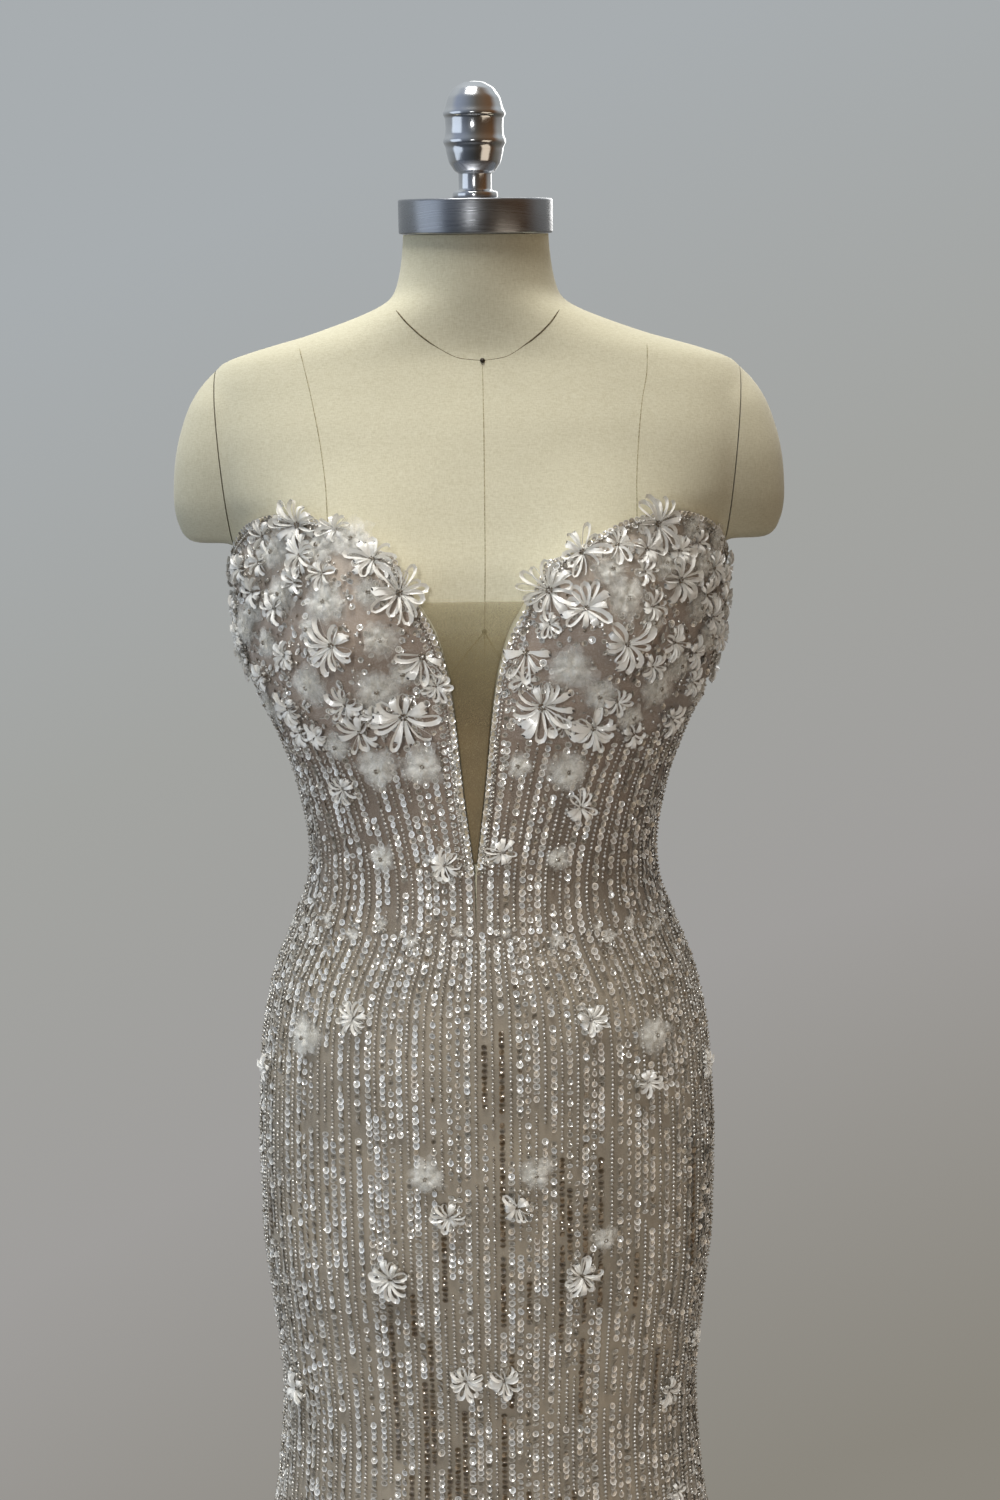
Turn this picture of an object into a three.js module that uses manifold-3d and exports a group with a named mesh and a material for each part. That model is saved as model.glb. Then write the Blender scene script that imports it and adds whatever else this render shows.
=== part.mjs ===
// A strapless beaded bridal gown standing on a limbless dress form.
// Millimetres, +Z up, the front of the gown towards -Y, the origin under the middle of the base.
import * as THREE from "three";
import { mergeVertices } from "three/addons/utils/BufferGeometryUtils.js";
import Module from "manifold-3d";

const wasm = await Module();
wasm.setup();

// Cloth
const CLOTH = 1.6; // wall of beaded tulle on its lining
const EASE = 0.7; // from the figure's surface to the inside of the cloth
const FORM_INSET = 1.35; // the form's linen lies this far inside the figure's surface
const FORM_FULLNESS = 0.9; // the form's bust, as a share of what the cups are shaped for
const SEAM = 0.2; // each panel stops this far short of its seam
const WAIST = 1048;
const BUST_POINT = 88; // from the middle to the fullest point
const BUST_SPREAD = 47;

// Flutes of the flared hem
const FLUTES = 12;
const FLUTE_DEPTH = 15;
const FLUTE_TOP = 560;
const FLUTE_GROWTH = 1.6; // how steeply they deepen towards the hem
const DRIFT = { share: 0.3, turns: 5, lag: 1 }; // a slower second wave makes the flutes uneven

// Plunge: the gown sits a little to one side on the form
const PLUNGE_SHIFT = -4.5;
const PLUNGE_BOTTOM = 1090;
const CUP_CORNER_Z = 1306;
const UNDERBUST_Z = 1185;
const MESH_BOTTOM = 1099;
const MESH_TOP = 1277;
const MESH_WALL = 1;
const MESH_COLUMNS = 4;
const MESH_ROWS = 8;
const MESH_GAP = 0.7;
const BINDING_WIDTH = 2.6;
const BINDING_WALL = 1;
const LAID_ON = 0.35; // gap under what lies on a panel

// Closure at the centre back
const ZIP_END = 888;
const ZIP_HALF = 1.6;
const ZIP_TOP = 1285;
const SLIDER = { width: 7, length: 9, wall: 2.4, drop: 9 }; // drop is from the top edge
const BAIL = { bar: 1, hole: 2.6, wall: 1.2 };
const TAB = { bar: 1.2, eye: 2.6, eyeLength: 3.4, width: 5.6, length: 24, tip: 4 };

// Form and stand
const NECK_SEAT = { y: -14, z: 1525.3 };
const NECK_TILT = THREE.MathUtils.degToRad(10);
const CAP = { radius: 53, height: 22.5, bevel: 1.5 };
const ARM_ROOT = 140; // centre of the arm stub's sections, from the middle
const ARM_SET_BACK = 4;
const ARMHOLE = { bottom: 1315, top: 1450, low: 171.8, high: 184.6, gap: 0.5 };
const CUT = 300; // reach of the blocks that cut the form
const FORM_COLUMNS = 30;
const ARM_COLUMNS = 20;
const POLE_RADIUS = 16;
const BASE = { radius: 210, height: 12, edge: 3 };
const COLLAR = { radius: 32, height: 34, edge: 10 };
const FIT = 0.3; // gap between hard pieces that touch
const ROUND = { base: 36, cap: 32, pole: 20, finial: 16 }; // sides of the turned pieces
const STEP = 0.01; // radians, for slopes taken across the figure

// The figure: half width, depth in front of and behind the middle, forward reach of the bust,
// squareness of the section (2 is an ellipse) and forward shift, from the hem up to the neck.
const rows = (columns, table) =>
  table.map((row) => Object.fromEntries(columns.map((name, i) => [name, row[i]])));
const FIGURE = rows(
  ["z", "width", "front", "back", "bust", "square", "shift"],
  [
    [15, 384, 352, 390, 0, 2, 0],
    [150, 320, 288, 316, 0, 2, 0],
    [300, 251, 214, 234, 0, 2, 0],
    [400, 213, 172, 186, 0, 2, 0],
    [500, 182, 138, 146, 0, 2, 0],
    [571, 165, 120, 124, 0, 2, 0],
    [608, 159.5, 114, 116, 0, 2, 0],
    [680, 154.5, 110, 108, 0, 2, 0],
    [740, 159, 109, 112, 0, 2, 0],
    [806, 165.5, 110, 121, 0, 2, 0],
    [870, 166.5, 110, 125, 0, 2, 0],
    [950, 162, 108, 115, 0, 2, 0],
    [1000, 152.5, 103, 104, 0, 2, 0],
    [1048, 133.5, 95, 91, 0, 2, 0],
    [1076, 124.5, 91, 86, 0, 2, 0],
    [1095, 123, 90, 85, 0, 2, 0],
    [1140, 130, 91, 87, 0, 2, 0],
    [1181, 144, 92, 91, 5, 2, 0],
    [1216, 160, 93, 95, 17, 2, 0],
    [1255, 170, 95, 98, 27, 2.05, 0],
    [1290, 172, 95, 99, 22, 2.15, 0],
    [1320, 173, 91, 98, 12, 2.3, 0],
    [1345, 185, 87, 96, 5, 2.5, 0],
    [1385, 192, 78, 89, 0, 2.5, 0],
    [1420, 192, 66, 76, 0, 2.3, 0],
    [1440, 182, 60, 66, 0, 2.15, 0],
    [1457, 125, 58, 60, 0, 2, -2],
    [1470, 86, 57, 57, 0, 2, -4],
    [1481, 61, 56, 55, 0, 2, -6],
    [1506, 53.5, 53, 53, 0, 2, -10],
    [1526, 51.5, 51.5, 51.5, 0, 2, -13],
    [1546, 51, 51, 51, 0, 2, -16],
  ],
);
// Arm stub: reach from the middle of the form, and half depth.
const ARM = rows(
  ["z", "reach", "depth"],
  [
    [1316, 205, 34],
    [1320, 211.5, 39],
    [1328, 215.5, 43],
    [1345, 218.5, 48],
    [1372, 216.6, 51],
    [1407, 207, 47],
    [1428, 194, 36],
    [1440, 180, 22],
    [1446, 168, 10],
  ],
);
// Top edge of the bodice round the body, from the inner corner of a cup to the centre back.
const TOP_EDGE = rows(
  ["degrees", "z"],
  [
    [0, 1290],
    [17, 1306],
    [24, 1319],
    [31, 1330],
    [43, 1335],
    [60, 1329],
    [72, 1319],
    [82, 1311],
    [95, 1307],
    [140, 1296],
    [180, 1287],
  ],
);
// Seam under the cups.
const UNDERBUST = rows(
  ["degrees", "z"],
  [
    [-5, 1188],
    [10, 1185],
    [33, 1179],
    [60, 1190],
    [90, 1214],
  ],
);
// Half width of the plunge.
const PLUNGE = rows(
  ["z", "half"],
  [
    [1048, 0],
    [1090, 0.9],
    [1119, 4],
    [1148, 7.4],
    [1174, 10],
    [1200, 12.7],
    [1224, 16],
    [1244, 20.5],
    [1260, 26],
    [1274, 34],
    [1290, 43],
    [1306, 50],
  ],
);
// Front princess seam, from the hem to the cup.
const PRINCESS = rows(
  ["z", "degrees"],
  [
    [15, 31],
    [870, 29.5],
    [1000, 31.5],
    [1048, 28],
    [1181, 37],
  ],
);
const SIDE = Math.PI / 2;
const SKIRT_BACK_SEAM = THREE.MathUtils.degToRad(150);
const BODICE_BACK_SEAM = THREE.MathUtils.degToRad(138);
const CENTRE_BACK = Math.PI;
const SKIRT_ROWS = [15, 150, 270, 370, 460, 540, 610, 680, 745, 800, 845, 888, 930, 970, 1008, 1048];
const GORE_COLUMNS = { front: 10, side: 10, back: 5 };
const FRONT_COLUMNS = 4;
const SIDE_FRONT_COLUMNS = 6;
const SIDE_BACK_COLUMNS = 5;
const BACK_COLUMNS = 4;
const FRONT_ROWS = 6;
const CUP_ROWS = [0, 0.2, 0.4, 0.6, 0.78, 0.9, 1];
const BACK_ROWS = 9;
const FORM_ROWS = [
  735, 790, 840, 885, 930, 970, 1008, 1048, 1076, 1098, 1135, 1170, 1200, 1228, 1252, 1275, 1300, 1320,
  1345, 1385, 1412, 1430, 1440, 1449, 1457, 1468, 1481, 1503, 1546,
];

// The larger sewn flowers, as plain mounds of their reach: x across, height and radius.
const CUP_FLOWERS = rows(
  ["side", "x", "z", "radius", "rise"],
  [
    [-1, 116, 1315, 13, 9],
    [-1, 69, 1300, 10, 9],
    [-1, 59, 1280, 11, 9],
    [-1, 135, 1273, 11, 9],
    [-1, 157, 1257, 10, 9],
    [-1, 94, 1251, 13, 10],
    [-1, 43, 1241, 13, 9],
    [-1, 51, 1204, 14, 9],
    [-1, 127, 1208, 12, 8],
    [1, 116, 1314, 13, 9],
    [1, 54, 1282, 12, 9],
    [1, 131, 1287, 12, 9],
    [1, 155, 1262, 10, 9],
    [1, 94, 1252, 13, 10],
    [1, 63, 1236, 11, 9],
    [1, 35, 1245, 13, 9],
    [1, 41, 1209, 14, 9],
    [1, 76, 1199, 12, 9],
  ],
);
const SKIRT_FLOWERS = rows(
  ["side", "x", "z", "radius", "rise"],
  [
    [-1, 92, 990, 10, 7],
    [1, 68, 990, 10, 7],
    [-1, 65, 806, 13, 8],
    [1, 64, 806, 12, 8],
    [-1, 14, 735, 11, 7],
    [1, 11, 735, 11, 7],
  ],
);
const FLOWER_SIDES = 8;
const FLOWER_RIM = 1; // height of its edge off the cloth
const FLOWER_CROWN = 0.6; // its flat top, as a share of its radius
const FLOWER_ROOT = 3; // how deep the mound starts, before its underside is cut to the panel

const FINISH = {
  tulle: { color: 0x9a9287, roughness: 0.62, metalness: 0.05 },
  cup: { color: 0xad9488, roughness: 0.6, metalness: 0.05 },
  mesh: { color: 0x8f8158, roughness: 0.8, metalness: 0 },
  binding: { color: 0xcfc8b2, roughness: 0.7, metalness: 0 },
  ribbon: { color: 0xe4e0d6, roughness: 0.45, metalness: 0 },
  linen: { color: 0xcdc5a5, roughness: 0.92, metalness: 0 },
  steel: { color: 0x8c9096, roughness: 0.35, metalness: 1 },
  chrome: { color: 0xc9ccd1, roughness: 0.12, metalness: 1 },
  iron: { color: 0x4b4d50, roughness: 0.55, metalness: 0.6 },
};
const materials = Object.fromEntries(
  Object.entries(FINISH).map(([name, values]) => [name, new THREE.MeshStandardMaterial(values)]),
);

// A smooth curve through a table's rows that never swings past them.
function curve(table, along, value) {
  const x = table.map((row) => row[along]);
  const y = table.map((row) => row[value]);
  const slope = x.slice(1).map((right, i) => (y[i + 1] - y[i]) / (right - x[i]));
  const tangent = x.map((_, i) => {
    if (i === 0) return slope[0];
    if (i === slope.length) return slope[i - 1];
    const [a, b] = [slope[i - 1], slope[i]];
    return a * b <= 0 ? 0 : (2 * a * b) / (a + b);
  });
  return (at) => {
    let i = 0;
    while (i < slope.length - 1 && at > x[i + 1]) i++;
    const span = x[i + 1] - x[i];
    const t = THREE.MathUtils.clamp((at - x[i]) / span, 0, 1);
    const eased = t * t * (3 - 2 * t);
    const leaving = span * tangent[i] * t * (1 - t) ** 2;
    const arriving = span * tangent[i + 1] * t * t * (1 - t);
    return y[i] + (y[i + 1] - y[i]) * eased + leaving - arriving;
  };
}

const figure = Object.fromEntries(
  ["width", "front", "back", "bust", "square", "shift"].map((name) => [name, curve(FIGURE, "z", name)]),
);
const armReach = curve(ARM, "z", "reach");
const armDepth = curve(ARM, "z", "depth");
const degreesOf = (angle) => THREE.MathUtils.radToDeg(angle);
const topEdge = ((read) => (angle) => read(degreesOf(angle)))(curve(TOP_EDGE, "degrees", "z"));
const underbust = ((read) => (angle) => read(degreesOf(angle)))(curve(UNDERBUST, "degrees", "z"));
const plungeHalf = curve(PLUNGE, "z", "half");
const princess = ((read) => (z) => THREE.MathUtils.degToRad(read(z)))(curve(PRINCESS, "z", "degrees"));

const power = (value, exponent) => Math.sign(value) * Math.abs(value) ** exponent;

// The figure's surface: the angle runs from the centre front, positive towards +X, to the centre back.
function skin(angle, z, fullness = 1) {
  const exponent = 2 / figure.square(z);
  const forward = Math.cos(angle);
  const depth = forward > 0 ? figure.front(z) : figure.back(z);
  const x = figure.width(z) * power(Math.sin(angle), exponent);
  let y = figure.shift(z) - depth * power(forward, exponent);
  const bust = fullness * figure.bust(z);
  if (forward > 0) y -= bust * Math.exp(-(((Math.abs(x) - BUST_POINT) / BUST_SPREAD) ** 2));
  const fall = Math.max(0, FLUTE_TOP - z) / FLUTE_TOP;
  const drift = DRIFT.share * Math.cos(DRIFT.turns * angle + DRIFT.lag);
  const push = FLUTE_DEPTH * fall ** FLUTE_GROWTH * (Math.cos(FLUTES * angle) + drift);
  return new THREE.Vector3(x + push * Math.sin(angle), y - push * forward, z);
}

// A point moved out from the figure along its normal.
function off(angle, z, distance, fullness = 1) {
  const across = skin(angle + STEP, z).sub(skin(angle - STEP, z));
  const up = skin(angle, z + 1).sub(skin(angle, z - 1));
  return skin(angle, z, fullness).addScaledVector(across.cross(up).normalize(), distance);
}
// The same, kept at its height so that a level seam stays level.
const level = (angle, z, ...rest) => off(angle, z, ...rest).setZ(z);
const angleAt = (x, z) => Math.asin(power(x / figure.width(z), figure.square(z) / 2));
const perMillimetre = (angle, z) => (2 * STEP) / skin(angle + STEP, z).distanceTo(skin(angle - STEP, z));

function closed(points, triangles) {
  const volume = triangles.reduce((sum, [a, b, c]) => {
    return sum + points[a].dot(points[b].clone().cross(points[c]));
  }, 0);
  const turned = volume < 0 ? triangles.map(([a, b, c]) => [a, c, b]) : triangles;
  return new THREE.BufferGeometry().setFromPoints(points).setIndex(turned.flat());
}

// A wall of cloth: surface(s, t, layer) gives the outside for layer 0 and the inside for layer 1.
function wall(across, up, surface) {
  const layers = [0, 1];
  const points = layers.flatMap((layer) => up.flatMap((t) => across.map((s) => surface(s, t, layer))));
  const at = (i, j, layer) => (layer * up.length + j) * across.length + i;
  const [right, top] = [across.length - 1, up.length - 1];
  const triangles = [];
  const quad = (a, b, c, d) => triangles.push([a, b, c], [a, c, d]);
  for (let j = 0; j < top; j++) {
    for (let i = 0; i < right; i++) {
      quad(at(i, j, 0), at(i + 1, j, 0), at(i + 1, j + 1, 0), at(i, j + 1, 0));
      quad(at(i, j, 1), at(i, j + 1, 1), at(i + 1, j + 1, 1), at(i + 1, j, 1));
    }
    quad(at(0, j, 0), at(0, j + 1, 0), at(0, j + 1, 1), at(0, j, 1));
    quad(at(right, j, 0), at(right, j, 1), at(right, j + 1, 1), at(right, j + 1, 0));
  }
  for (let i = 0; i < right; i++) {
    quad(at(i, 0, 0), at(i, 0, 1), at(i + 1, 0, 1), at(i + 1, 0, 0));
    quad(at(i, top, 0), at(i + 1, top, 0), at(i + 1, top, 1), at(i, top, 1));
  }
  return closed(points, triangles);
}

// A solid through closed rings of points, with flat ends.
function loft(rings) {
  const count = rings[0].length;
  const middle = (ring) =>
    ring.reduce((sum, point) => sum.add(point), new THREE.Vector3()).divideScalar(count);
  const points = [...rings.flat(), middle(rings[0]), middle(rings[rings.length - 1])];
  const [low, high] = [points.length - 2, points.length - 1];
  const triangles = [];
  const lastRing = (rings.length - 1) * count;
  for (let i = 0; i < count; i++) {
    const next = (i + 1) % count;
    triangles.push([low, next, i], [high, lastRing + i, lastRing + next]);
    for (let start = 0; start < lastRing; start += count) {
      triangles.push([start + i, start + next, start + count + next]);
      triangles.push([start + i, start + count + next, start + count + i]);
    }
  }
  return closed(points, triangles);
}

function solid(geometry) {
  const bare = geometry.clone();
  bare.deleteAttribute("normal");
  bare.deleteAttribute("uv");
  const merged = mergeVertices(bare);
  return new wasm.Manifold(
    new wasm.Mesh({
      numProp: 3,
      vertProperties: new Float32Array(merged.attributes.position.array),
      triVerts: new Uint32Array(merged.index.array),
    }),
  );
}

function geometryOf(made) {
  const { vertProperties, triVerts } = made.getMesh();
  return new THREE.BufferGeometry()
    .setAttribute("position", new THREE.BufferAttribute(vertProperties, 3))
    .setIndex(new THREE.BufferAttribute(triVerts, 1));
}

const group = new THREE.Group();
function add(name, geometry, material) {
  const mesh = new THREE.Mesh(geometry, material);
  mesh.name = name;
  group.add(mesh);
  return mesh;
}

const steps = (count) => Array.from({ length: count + 1 }, (_, i) => i / count);
const mix = THREE.MathUtils.lerp;
const SIDES = [
  { name: "left", sign: 1 },
  { name: "right", sign: -1 },
];
const OUTSIDE = EASE + CLOTH;
const CLOTH_LAYERS = [OUTSIDE, EASE];
const BED_LAYERS = [OUTSIDE + LAID_ON, -2 * FLOWER_ROOT]; // what a flower on the panel is cut by

// Where the seams lie at a height, on the side given by sign.
const at = (angle) => () => angle;
const plungeEdge = (z, sign) => angleAt(plungeHalf(z) + sign * PLUNGE_SHIFT, z);
function zipEdge(z) {
  const half = z > ZIP_END - 1 ? ZIP_HALF + SEAM : 0;
  return CENTRE_BACK - half * perMillimetre(CENTRE_BACK, z);
}

// The angle at share s of the way between two seams, each kept SEAM away.
function between(from, to, s, fromZ, toZ = fromZ) {
  const start = from(fromZ) + SEAM * perMillimetre(from(fromZ), fromZ);
  const end = to(toZ) - SEAM * perMillimetre(to(toZ), toZ);
  return mix(start, end, s);
}

// Skirt: a centre front, and a side front, side back and centre back on each side.
const beds = {};
function addPanel(name, make, material) {
  add(name, make(CLOTH_LAYERS), material);
  beds[name] = solid(make(BED_LAYERS));
}
const gore = (sign, columns, from, to) => (layers) =>
  wall(steps(columns), SKIRT_ROWS, (s, row, layer) => {
    const z = row === WAIST ? WAIST - SEAM : row;
    return level(sign * between(from, to, s, z), z, layers[layer]);
  });
const { front: frontColumns, side: sideColumns, back: backColumns } = GORE_COLUMNS;
addPanel("skirt_centre_front", gore(1, frontColumns, (z) => -princess(z), princess), materials.tulle);
for (const { name, sign } of SIDES) {
  const sideBack = gore(sign, sideColumns, at(SIDE), at(SKIRT_BACK_SEAM));
  const centreBack = gore(sign, backColumns, at(SKIRT_BACK_SEAM), zipEdge);
  addPanel(`skirt_side_front_${name}`, gore(sign, sideColumns, princess, at(SIDE)), materials.tulle);
  addPanel(`skirt_side_back_${name}`, sideBack, materials.tulle);
  addPanel(`skirt_centre_back_${name}`, centreBack, materials.tulle);
}

// A bodice panel rises from the waist to an upper edge; place gives the angle and height of a point.
function bodicePlace(from, to, high) {
  const topOf = (edge) => high(edge(high(edge(WAIST))));
  const [fromTop, toTop] = [topOf(from), topOf(to)];
  return (s, t) => {
    const angle = between(from, to, s, mix(WAIST, fromTop, t), mix(WAIST, toTop, t));
    return { angle, z: mix(WAIST + SEAM, high(angle) - SEAM, t) };
  };
}

// A cup fills from the seam under the bust to the top edge, between the plunge and the side seam.
function cupPlace(sign) {
  const edge = (z) => plungeEdge(z, sign);
  const foot = underbust(edge(UNDERBUST_Z));
  return (s, t) => {
    const z = mix(foot, CUP_CORNER_Z, t);
    const angle = between(edge, at(SIDE), s, z);
    return { angle, z: mix(underbust(angle) + SEAM, topEdge(angle), t) };
  };
}

// The cup's columns meet those of the two panels under it.
function cupColumns(sign) {
  const [start, middle] = [plungeEdge(UNDERBUST_Z, sign), princess(UNDERBUST_Z)];
  const share = (middle - start) / (SIDE - start);
  const outer = steps(SIDE_FRONT_COLUMNS).slice(1);
  return [...steps(FRONT_COLUMNS).map((s) => s * share), ...outer.map((s) => mix(share, 1, s))];
}

const laid = (sign, place, distance) => level(sign * place.angle, place.z, distance);
const sewn = (sign, across, up, place) => (layers) =>
  wall(across, up, (s, t, layer) => laid(sign, place(s, t), layers[layer]));

for (const { name, sign } of SIDES) {
  const plunge = (z) => plungeEdge(z, sign);
  const cup = cupPlace(sign);
  const front = bodicePlace(plunge, princess, underbust);
  const sideFront = bodicePlace(princess, at(SIDE), underbust);
  const sideBack = bodicePlace(at(SIDE), at(BODICE_BACK_SEAM), topEdge);
  const back = bodicePlace(at(BODICE_BACK_SEAM), zipEdge, topEdge);
  const [frontRows, backRows] = [steps(FRONT_ROWS), steps(BACK_ROWS)];
  addPanel(`cup_${name}`, sewn(sign, cupColumns(sign), CUP_ROWS, cup), materials.cup);
  const panels = {
    front: sewn(sign, steps(FRONT_COLUMNS), frontRows, front),
    side_front: sewn(sign, steps(SIDE_FRONT_COLUMNS), frontRows, sideFront),
    side_back: sewn(sign, steps(SIDE_BACK_COLUMNS), backRows, sideBack),
    back: sewn(sign, steps(BACK_COLUMNS), backRows, back),
  };
  for (const [part, make] of Object.entries(panels)) {
    addPanel(`bodice_${part}_${name}`, make, materials.tulle);
  }

  // The binding runs up the plunge and round the top edge to the zip, laid on the panels' edges:
  // each step holds a point of the edge and the panel's next point in from it.
  const firstColumn = cupColumns(sign)[1];
  const lastRow = CUP_ROWS.at(-2);
  const backRow = 1 - 1 / BACK_ROWS;
  const path = [
    ...frontRows
      .filter((t) => front(0, t).z > PLUNGE_BOTTOM)
      .map((t) => [front(0, t), front(1 / FRONT_COLUMNS, t)]),
    ...CUP_ROWS.slice(1, -1).map((t) => [cup(0, t), cup(firstColumn, t)]),
    [cup(0, 1), cup(firstColumn, lastRow)],
    ...cupColumns(sign).slice(1).map((s) => [cup(s, 1), cup(s, lastRow)]),
    ...steps(SIDE_BACK_COLUMNS).slice(1).map((s) => [sideBack(s, 1), sideBack(s, backRow)]),
    ...steps(BACK_COLUMNS).slice(1).map((s) => [back(s, 1), back(s, backRow)]),
  ];
  const strip = wall([0, 1], [...path.keys()], (s, i, layer) => {
    const [edge, inward] = path[i].map((place) => laid(sign, place, OUTSIDE));
    const normal = laid(sign, path[i][0], OUTSIDE + 1).sub(edge).normalize();
    const along = inward.sub(edge).normalize().multiplyScalar(s * BINDING_WIDTH);
    return edge.add(along).addScaledVector(normal, LAID_ON + (layer ? 0 : BINDING_WALL));
  });
  add(`edge_binding_${name}`, strip, materials.binding);
}

// The sheer inset that fills the plunge.
const insetRows = steps(MESH_ROWS).map((t) => mix(MESH_BOTTOM, MESH_TOP, t));
const inset = wall(steps(MESH_COLUMNS), insetRows, (s, z, layer) => {
  const x = PLUNGE_SHIFT + (2 * s - 1) * (plungeHalf(z) - MESH_GAP);
  return level(angleAt(x, z), z, layer ? EASE : EASE + MESH_WALL);
});
add("plunge_mesh", inset, materials.mesh);

// A sewn flower's reach: a low eight-sided mound whose underside is cut by the panel's points, moved out.
function mound({ side, x, z, radius, rise }, bed) {
  const centre = angleAt(x, z);
  const climb = 2 / skin(centre, z + 1).distanceTo(skin(centre, z - 1));
  const ring = (share, lift) =>
    steps(FLOWER_SIDES)
      .slice(1)
      .map((turn) => {
        const [across, up] = [Math.cos(turn * 2 * Math.PI), Math.sin(turn * 2 * Math.PI)];
        const angle = centre + share * radius * across * perMillimetre(centre, z);
        return off(side * angle, z + share * radius * up * climb, OUTSIDE + lift);
      });
  const dome = loft([ring(1, -FLOWER_ROOT), ring(1, FLOWER_RIM), ring(FLOWER_CROWN, rise)]);
  return geometryOf(solid(dome).subtract(bed));
}
const sideName = (sign) => SIDES.find((side) => side.sign === sign).name;
function addFlowers(place, flowers, bedOf) {
  const count = { left: 0, right: 0 };
  for (const flower of flowers) {
    const side = sideName(flower.side);
    count[side] += 1;
    add(`${place}_flower_${side}_${count[side]}`, mound(flower, beds[bedOf(flower, side)]), materials.ribbon);
  }
}
addFlowers("cup", CUP_FLOWERS, (_, side) => `cup_${side}`);
addFlowers("skirt", SKIRT_FLOWERS, ({ x, z }, side) =>
  angleAt(x, z) < princess(z) ? "skirt_centre_front" : `skirt_side_front_${side}`,
);

// Closure: the zip's chain fills the gap in the centre back seam.
const zipRows = [
  ZIP_END + 2,
  ...SKIRT_ROWS.filter((z) => z > ZIP_END),
  ...steps(BACK_ROWS).slice(1).map((t) => mix(WAIST, ZIP_TOP, t)),
];
const chain = wall([-1, 1], zipRows, (s, z, layer) =>
  level(CENTRE_BACK - s * ZIP_HALF * perMillimetre(CENTRE_BACK, z), z, CLOTH_LAYERS[layer]),
);
add("zip_chain", chain, materials.binding);

// A flat outline in x and z, given its thickness along y from a starting y.
function plate(shape, y, thickness) {
  const made = new THREE.ExtrudeGeometry(shape, { depth: thickness, bevelEnabled: false });
  return made.rotateX(Math.PI / 2).translate(0, y + thickness, 0);
}
const polygon = (points) => new THREE.Shape(points.map(([x, y]) => new THREE.Vector2(x, y)));

const sliderZ = topEdge(CENTRE_BACK) - SLIDER.drop;
const sliderY = skin(CENTRE_BACK, sliderZ).y + OUTSIDE + LAID_ON;
const bailY = sliderY + SLIDER.wall;
const hinge = { y: bailY + BAIL.hole / 2, z: sliderZ };
const block = new THREE.BoxGeometry(SLIDER.width, SLIDER.wall, SLIDER.length);
block.translate(0, sliderY + SLIDER.wall / 2, sliderZ);
const archLength = BAIL.hole + 2 * BAIL.bar;
const arch = new THREE.BoxGeometry(BAIL.wall, BAIL.hole + 2 * BAIL.bar, archLength);
arch.translate(0, hinge.y, sliderZ);
const archHole = new THREE.BoxGeometry(2 * BAIL.wall, BAIL.hole, BAIL.hole).translate(0, hinge.y, sliderZ);
const slider = solid(block).add(solid(arch)).subtract(solid(archHole));
add("zip_slider", geometryOf(slider), materials.steel);

// The pull tab hangs from the slider's bail by the bar at the top of its eye.
const tabTop = hinge.z + TAB.bar / 2;
const eyeTop = hinge.z - TAB.bar / 2;
const tabFoot = tabTop - TAB.length;
const half = TAB.width / 2;
const tab = polygon([
  [-half, tabTop],
  [half, tabTop],
  [half, tabFoot + TAB.tip],
  [half / 2, tabFoot],
  [-half / 2, tabFoot],
  [-half, tabFoot + TAB.tip],
]);
tab.holes.push(
  polygon([
    [-TAB.eye / 2, eyeTop],
    [-TAB.eye / 2, eyeTop - TAB.eyeLength],
    [TAB.eye / 2, eyeTop - TAB.eyeLength],
    [TAB.eye / 2, eyeTop],
  ]),
);
add("zip_pull", plate(tab, hinge.y - TAB.bar / 2, TAB.bar), materials.steel);

// Dress form: one smooth figure with arm stubs, parted at the armholes and cut at the neck.
const turns = (count) => steps(count).slice(1).map((turn) => turn * 2 * Math.PI);
const figureRings = FORM_ROWS.map((z) =>
  turns(FORM_COLUMNS).map((angle) => level(angle, z, -FORM_INSET, FORM_FULLNESS)),
);
const stub = ({ sign }) =>
  loft(
    ARM.map(({ z, reach, depth }) =>
      turns(ARM_COLUMNS).map((angle) => {
        const x = ARM_ROOT + (reach - ARM_ROOT) * Math.cos(angle);
        return new THREE.Vector3(sign * x, ARM_SET_BACK + depth * Math.sin(angle), z);
      }),
    ),
  );
const figureSolid = SIDES.reduce((sum, side) => sum.add(solid(stub(side))), solid(loft(figureRings)));
const beyondArmhole = (sign, gap) => {
  const { bottom, top, low, high } = ARMHOLE;
  const outline = [
    [low + gap, bottom],
    [high + gap, top],
    [CUT, top],
    [CUT, bottom],
  ];
  const block = plate(polygon(outline.map(([x, z]) => [sign * x, z])), -CUT / 2, CUT);
  return solid(block);
};
const aboveNeck = new THREE.BoxGeometry(CUT, CUT, CUT).translate(0, 0, CUT / 2);
aboveNeck.rotateX(NECK_TILT).translate(0, NECK_SEAT.y, NECK_SEAT.z);
const torso = SIDES.reduce(
  (rest, { sign }) => rest.subtract(beyondArmhole(sign, 0)),
  figureSolid.subtract(solid(aboveNeck)),
);
add("form_torso", geometryOf(torso), materials.linen);
for (const { name, sign } of SIDES) {
  const arm = figureSolid.intersect(beyondArmhole(sign, ARMHOLE.gap));
  add(`form_arm_${name}`, geometryOf(arm), materials.linen);
}

// A turned piece: outline points are radius and height, up the outside.
function turned(outline, segments) {
  const made = new THREE.LatheGeometry(
    outline.map(([radius, height]) => new THREE.Vector2(radius, height)),
    segments,
  );
  return made.rotateX(Math.PI / 2);
}

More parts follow.
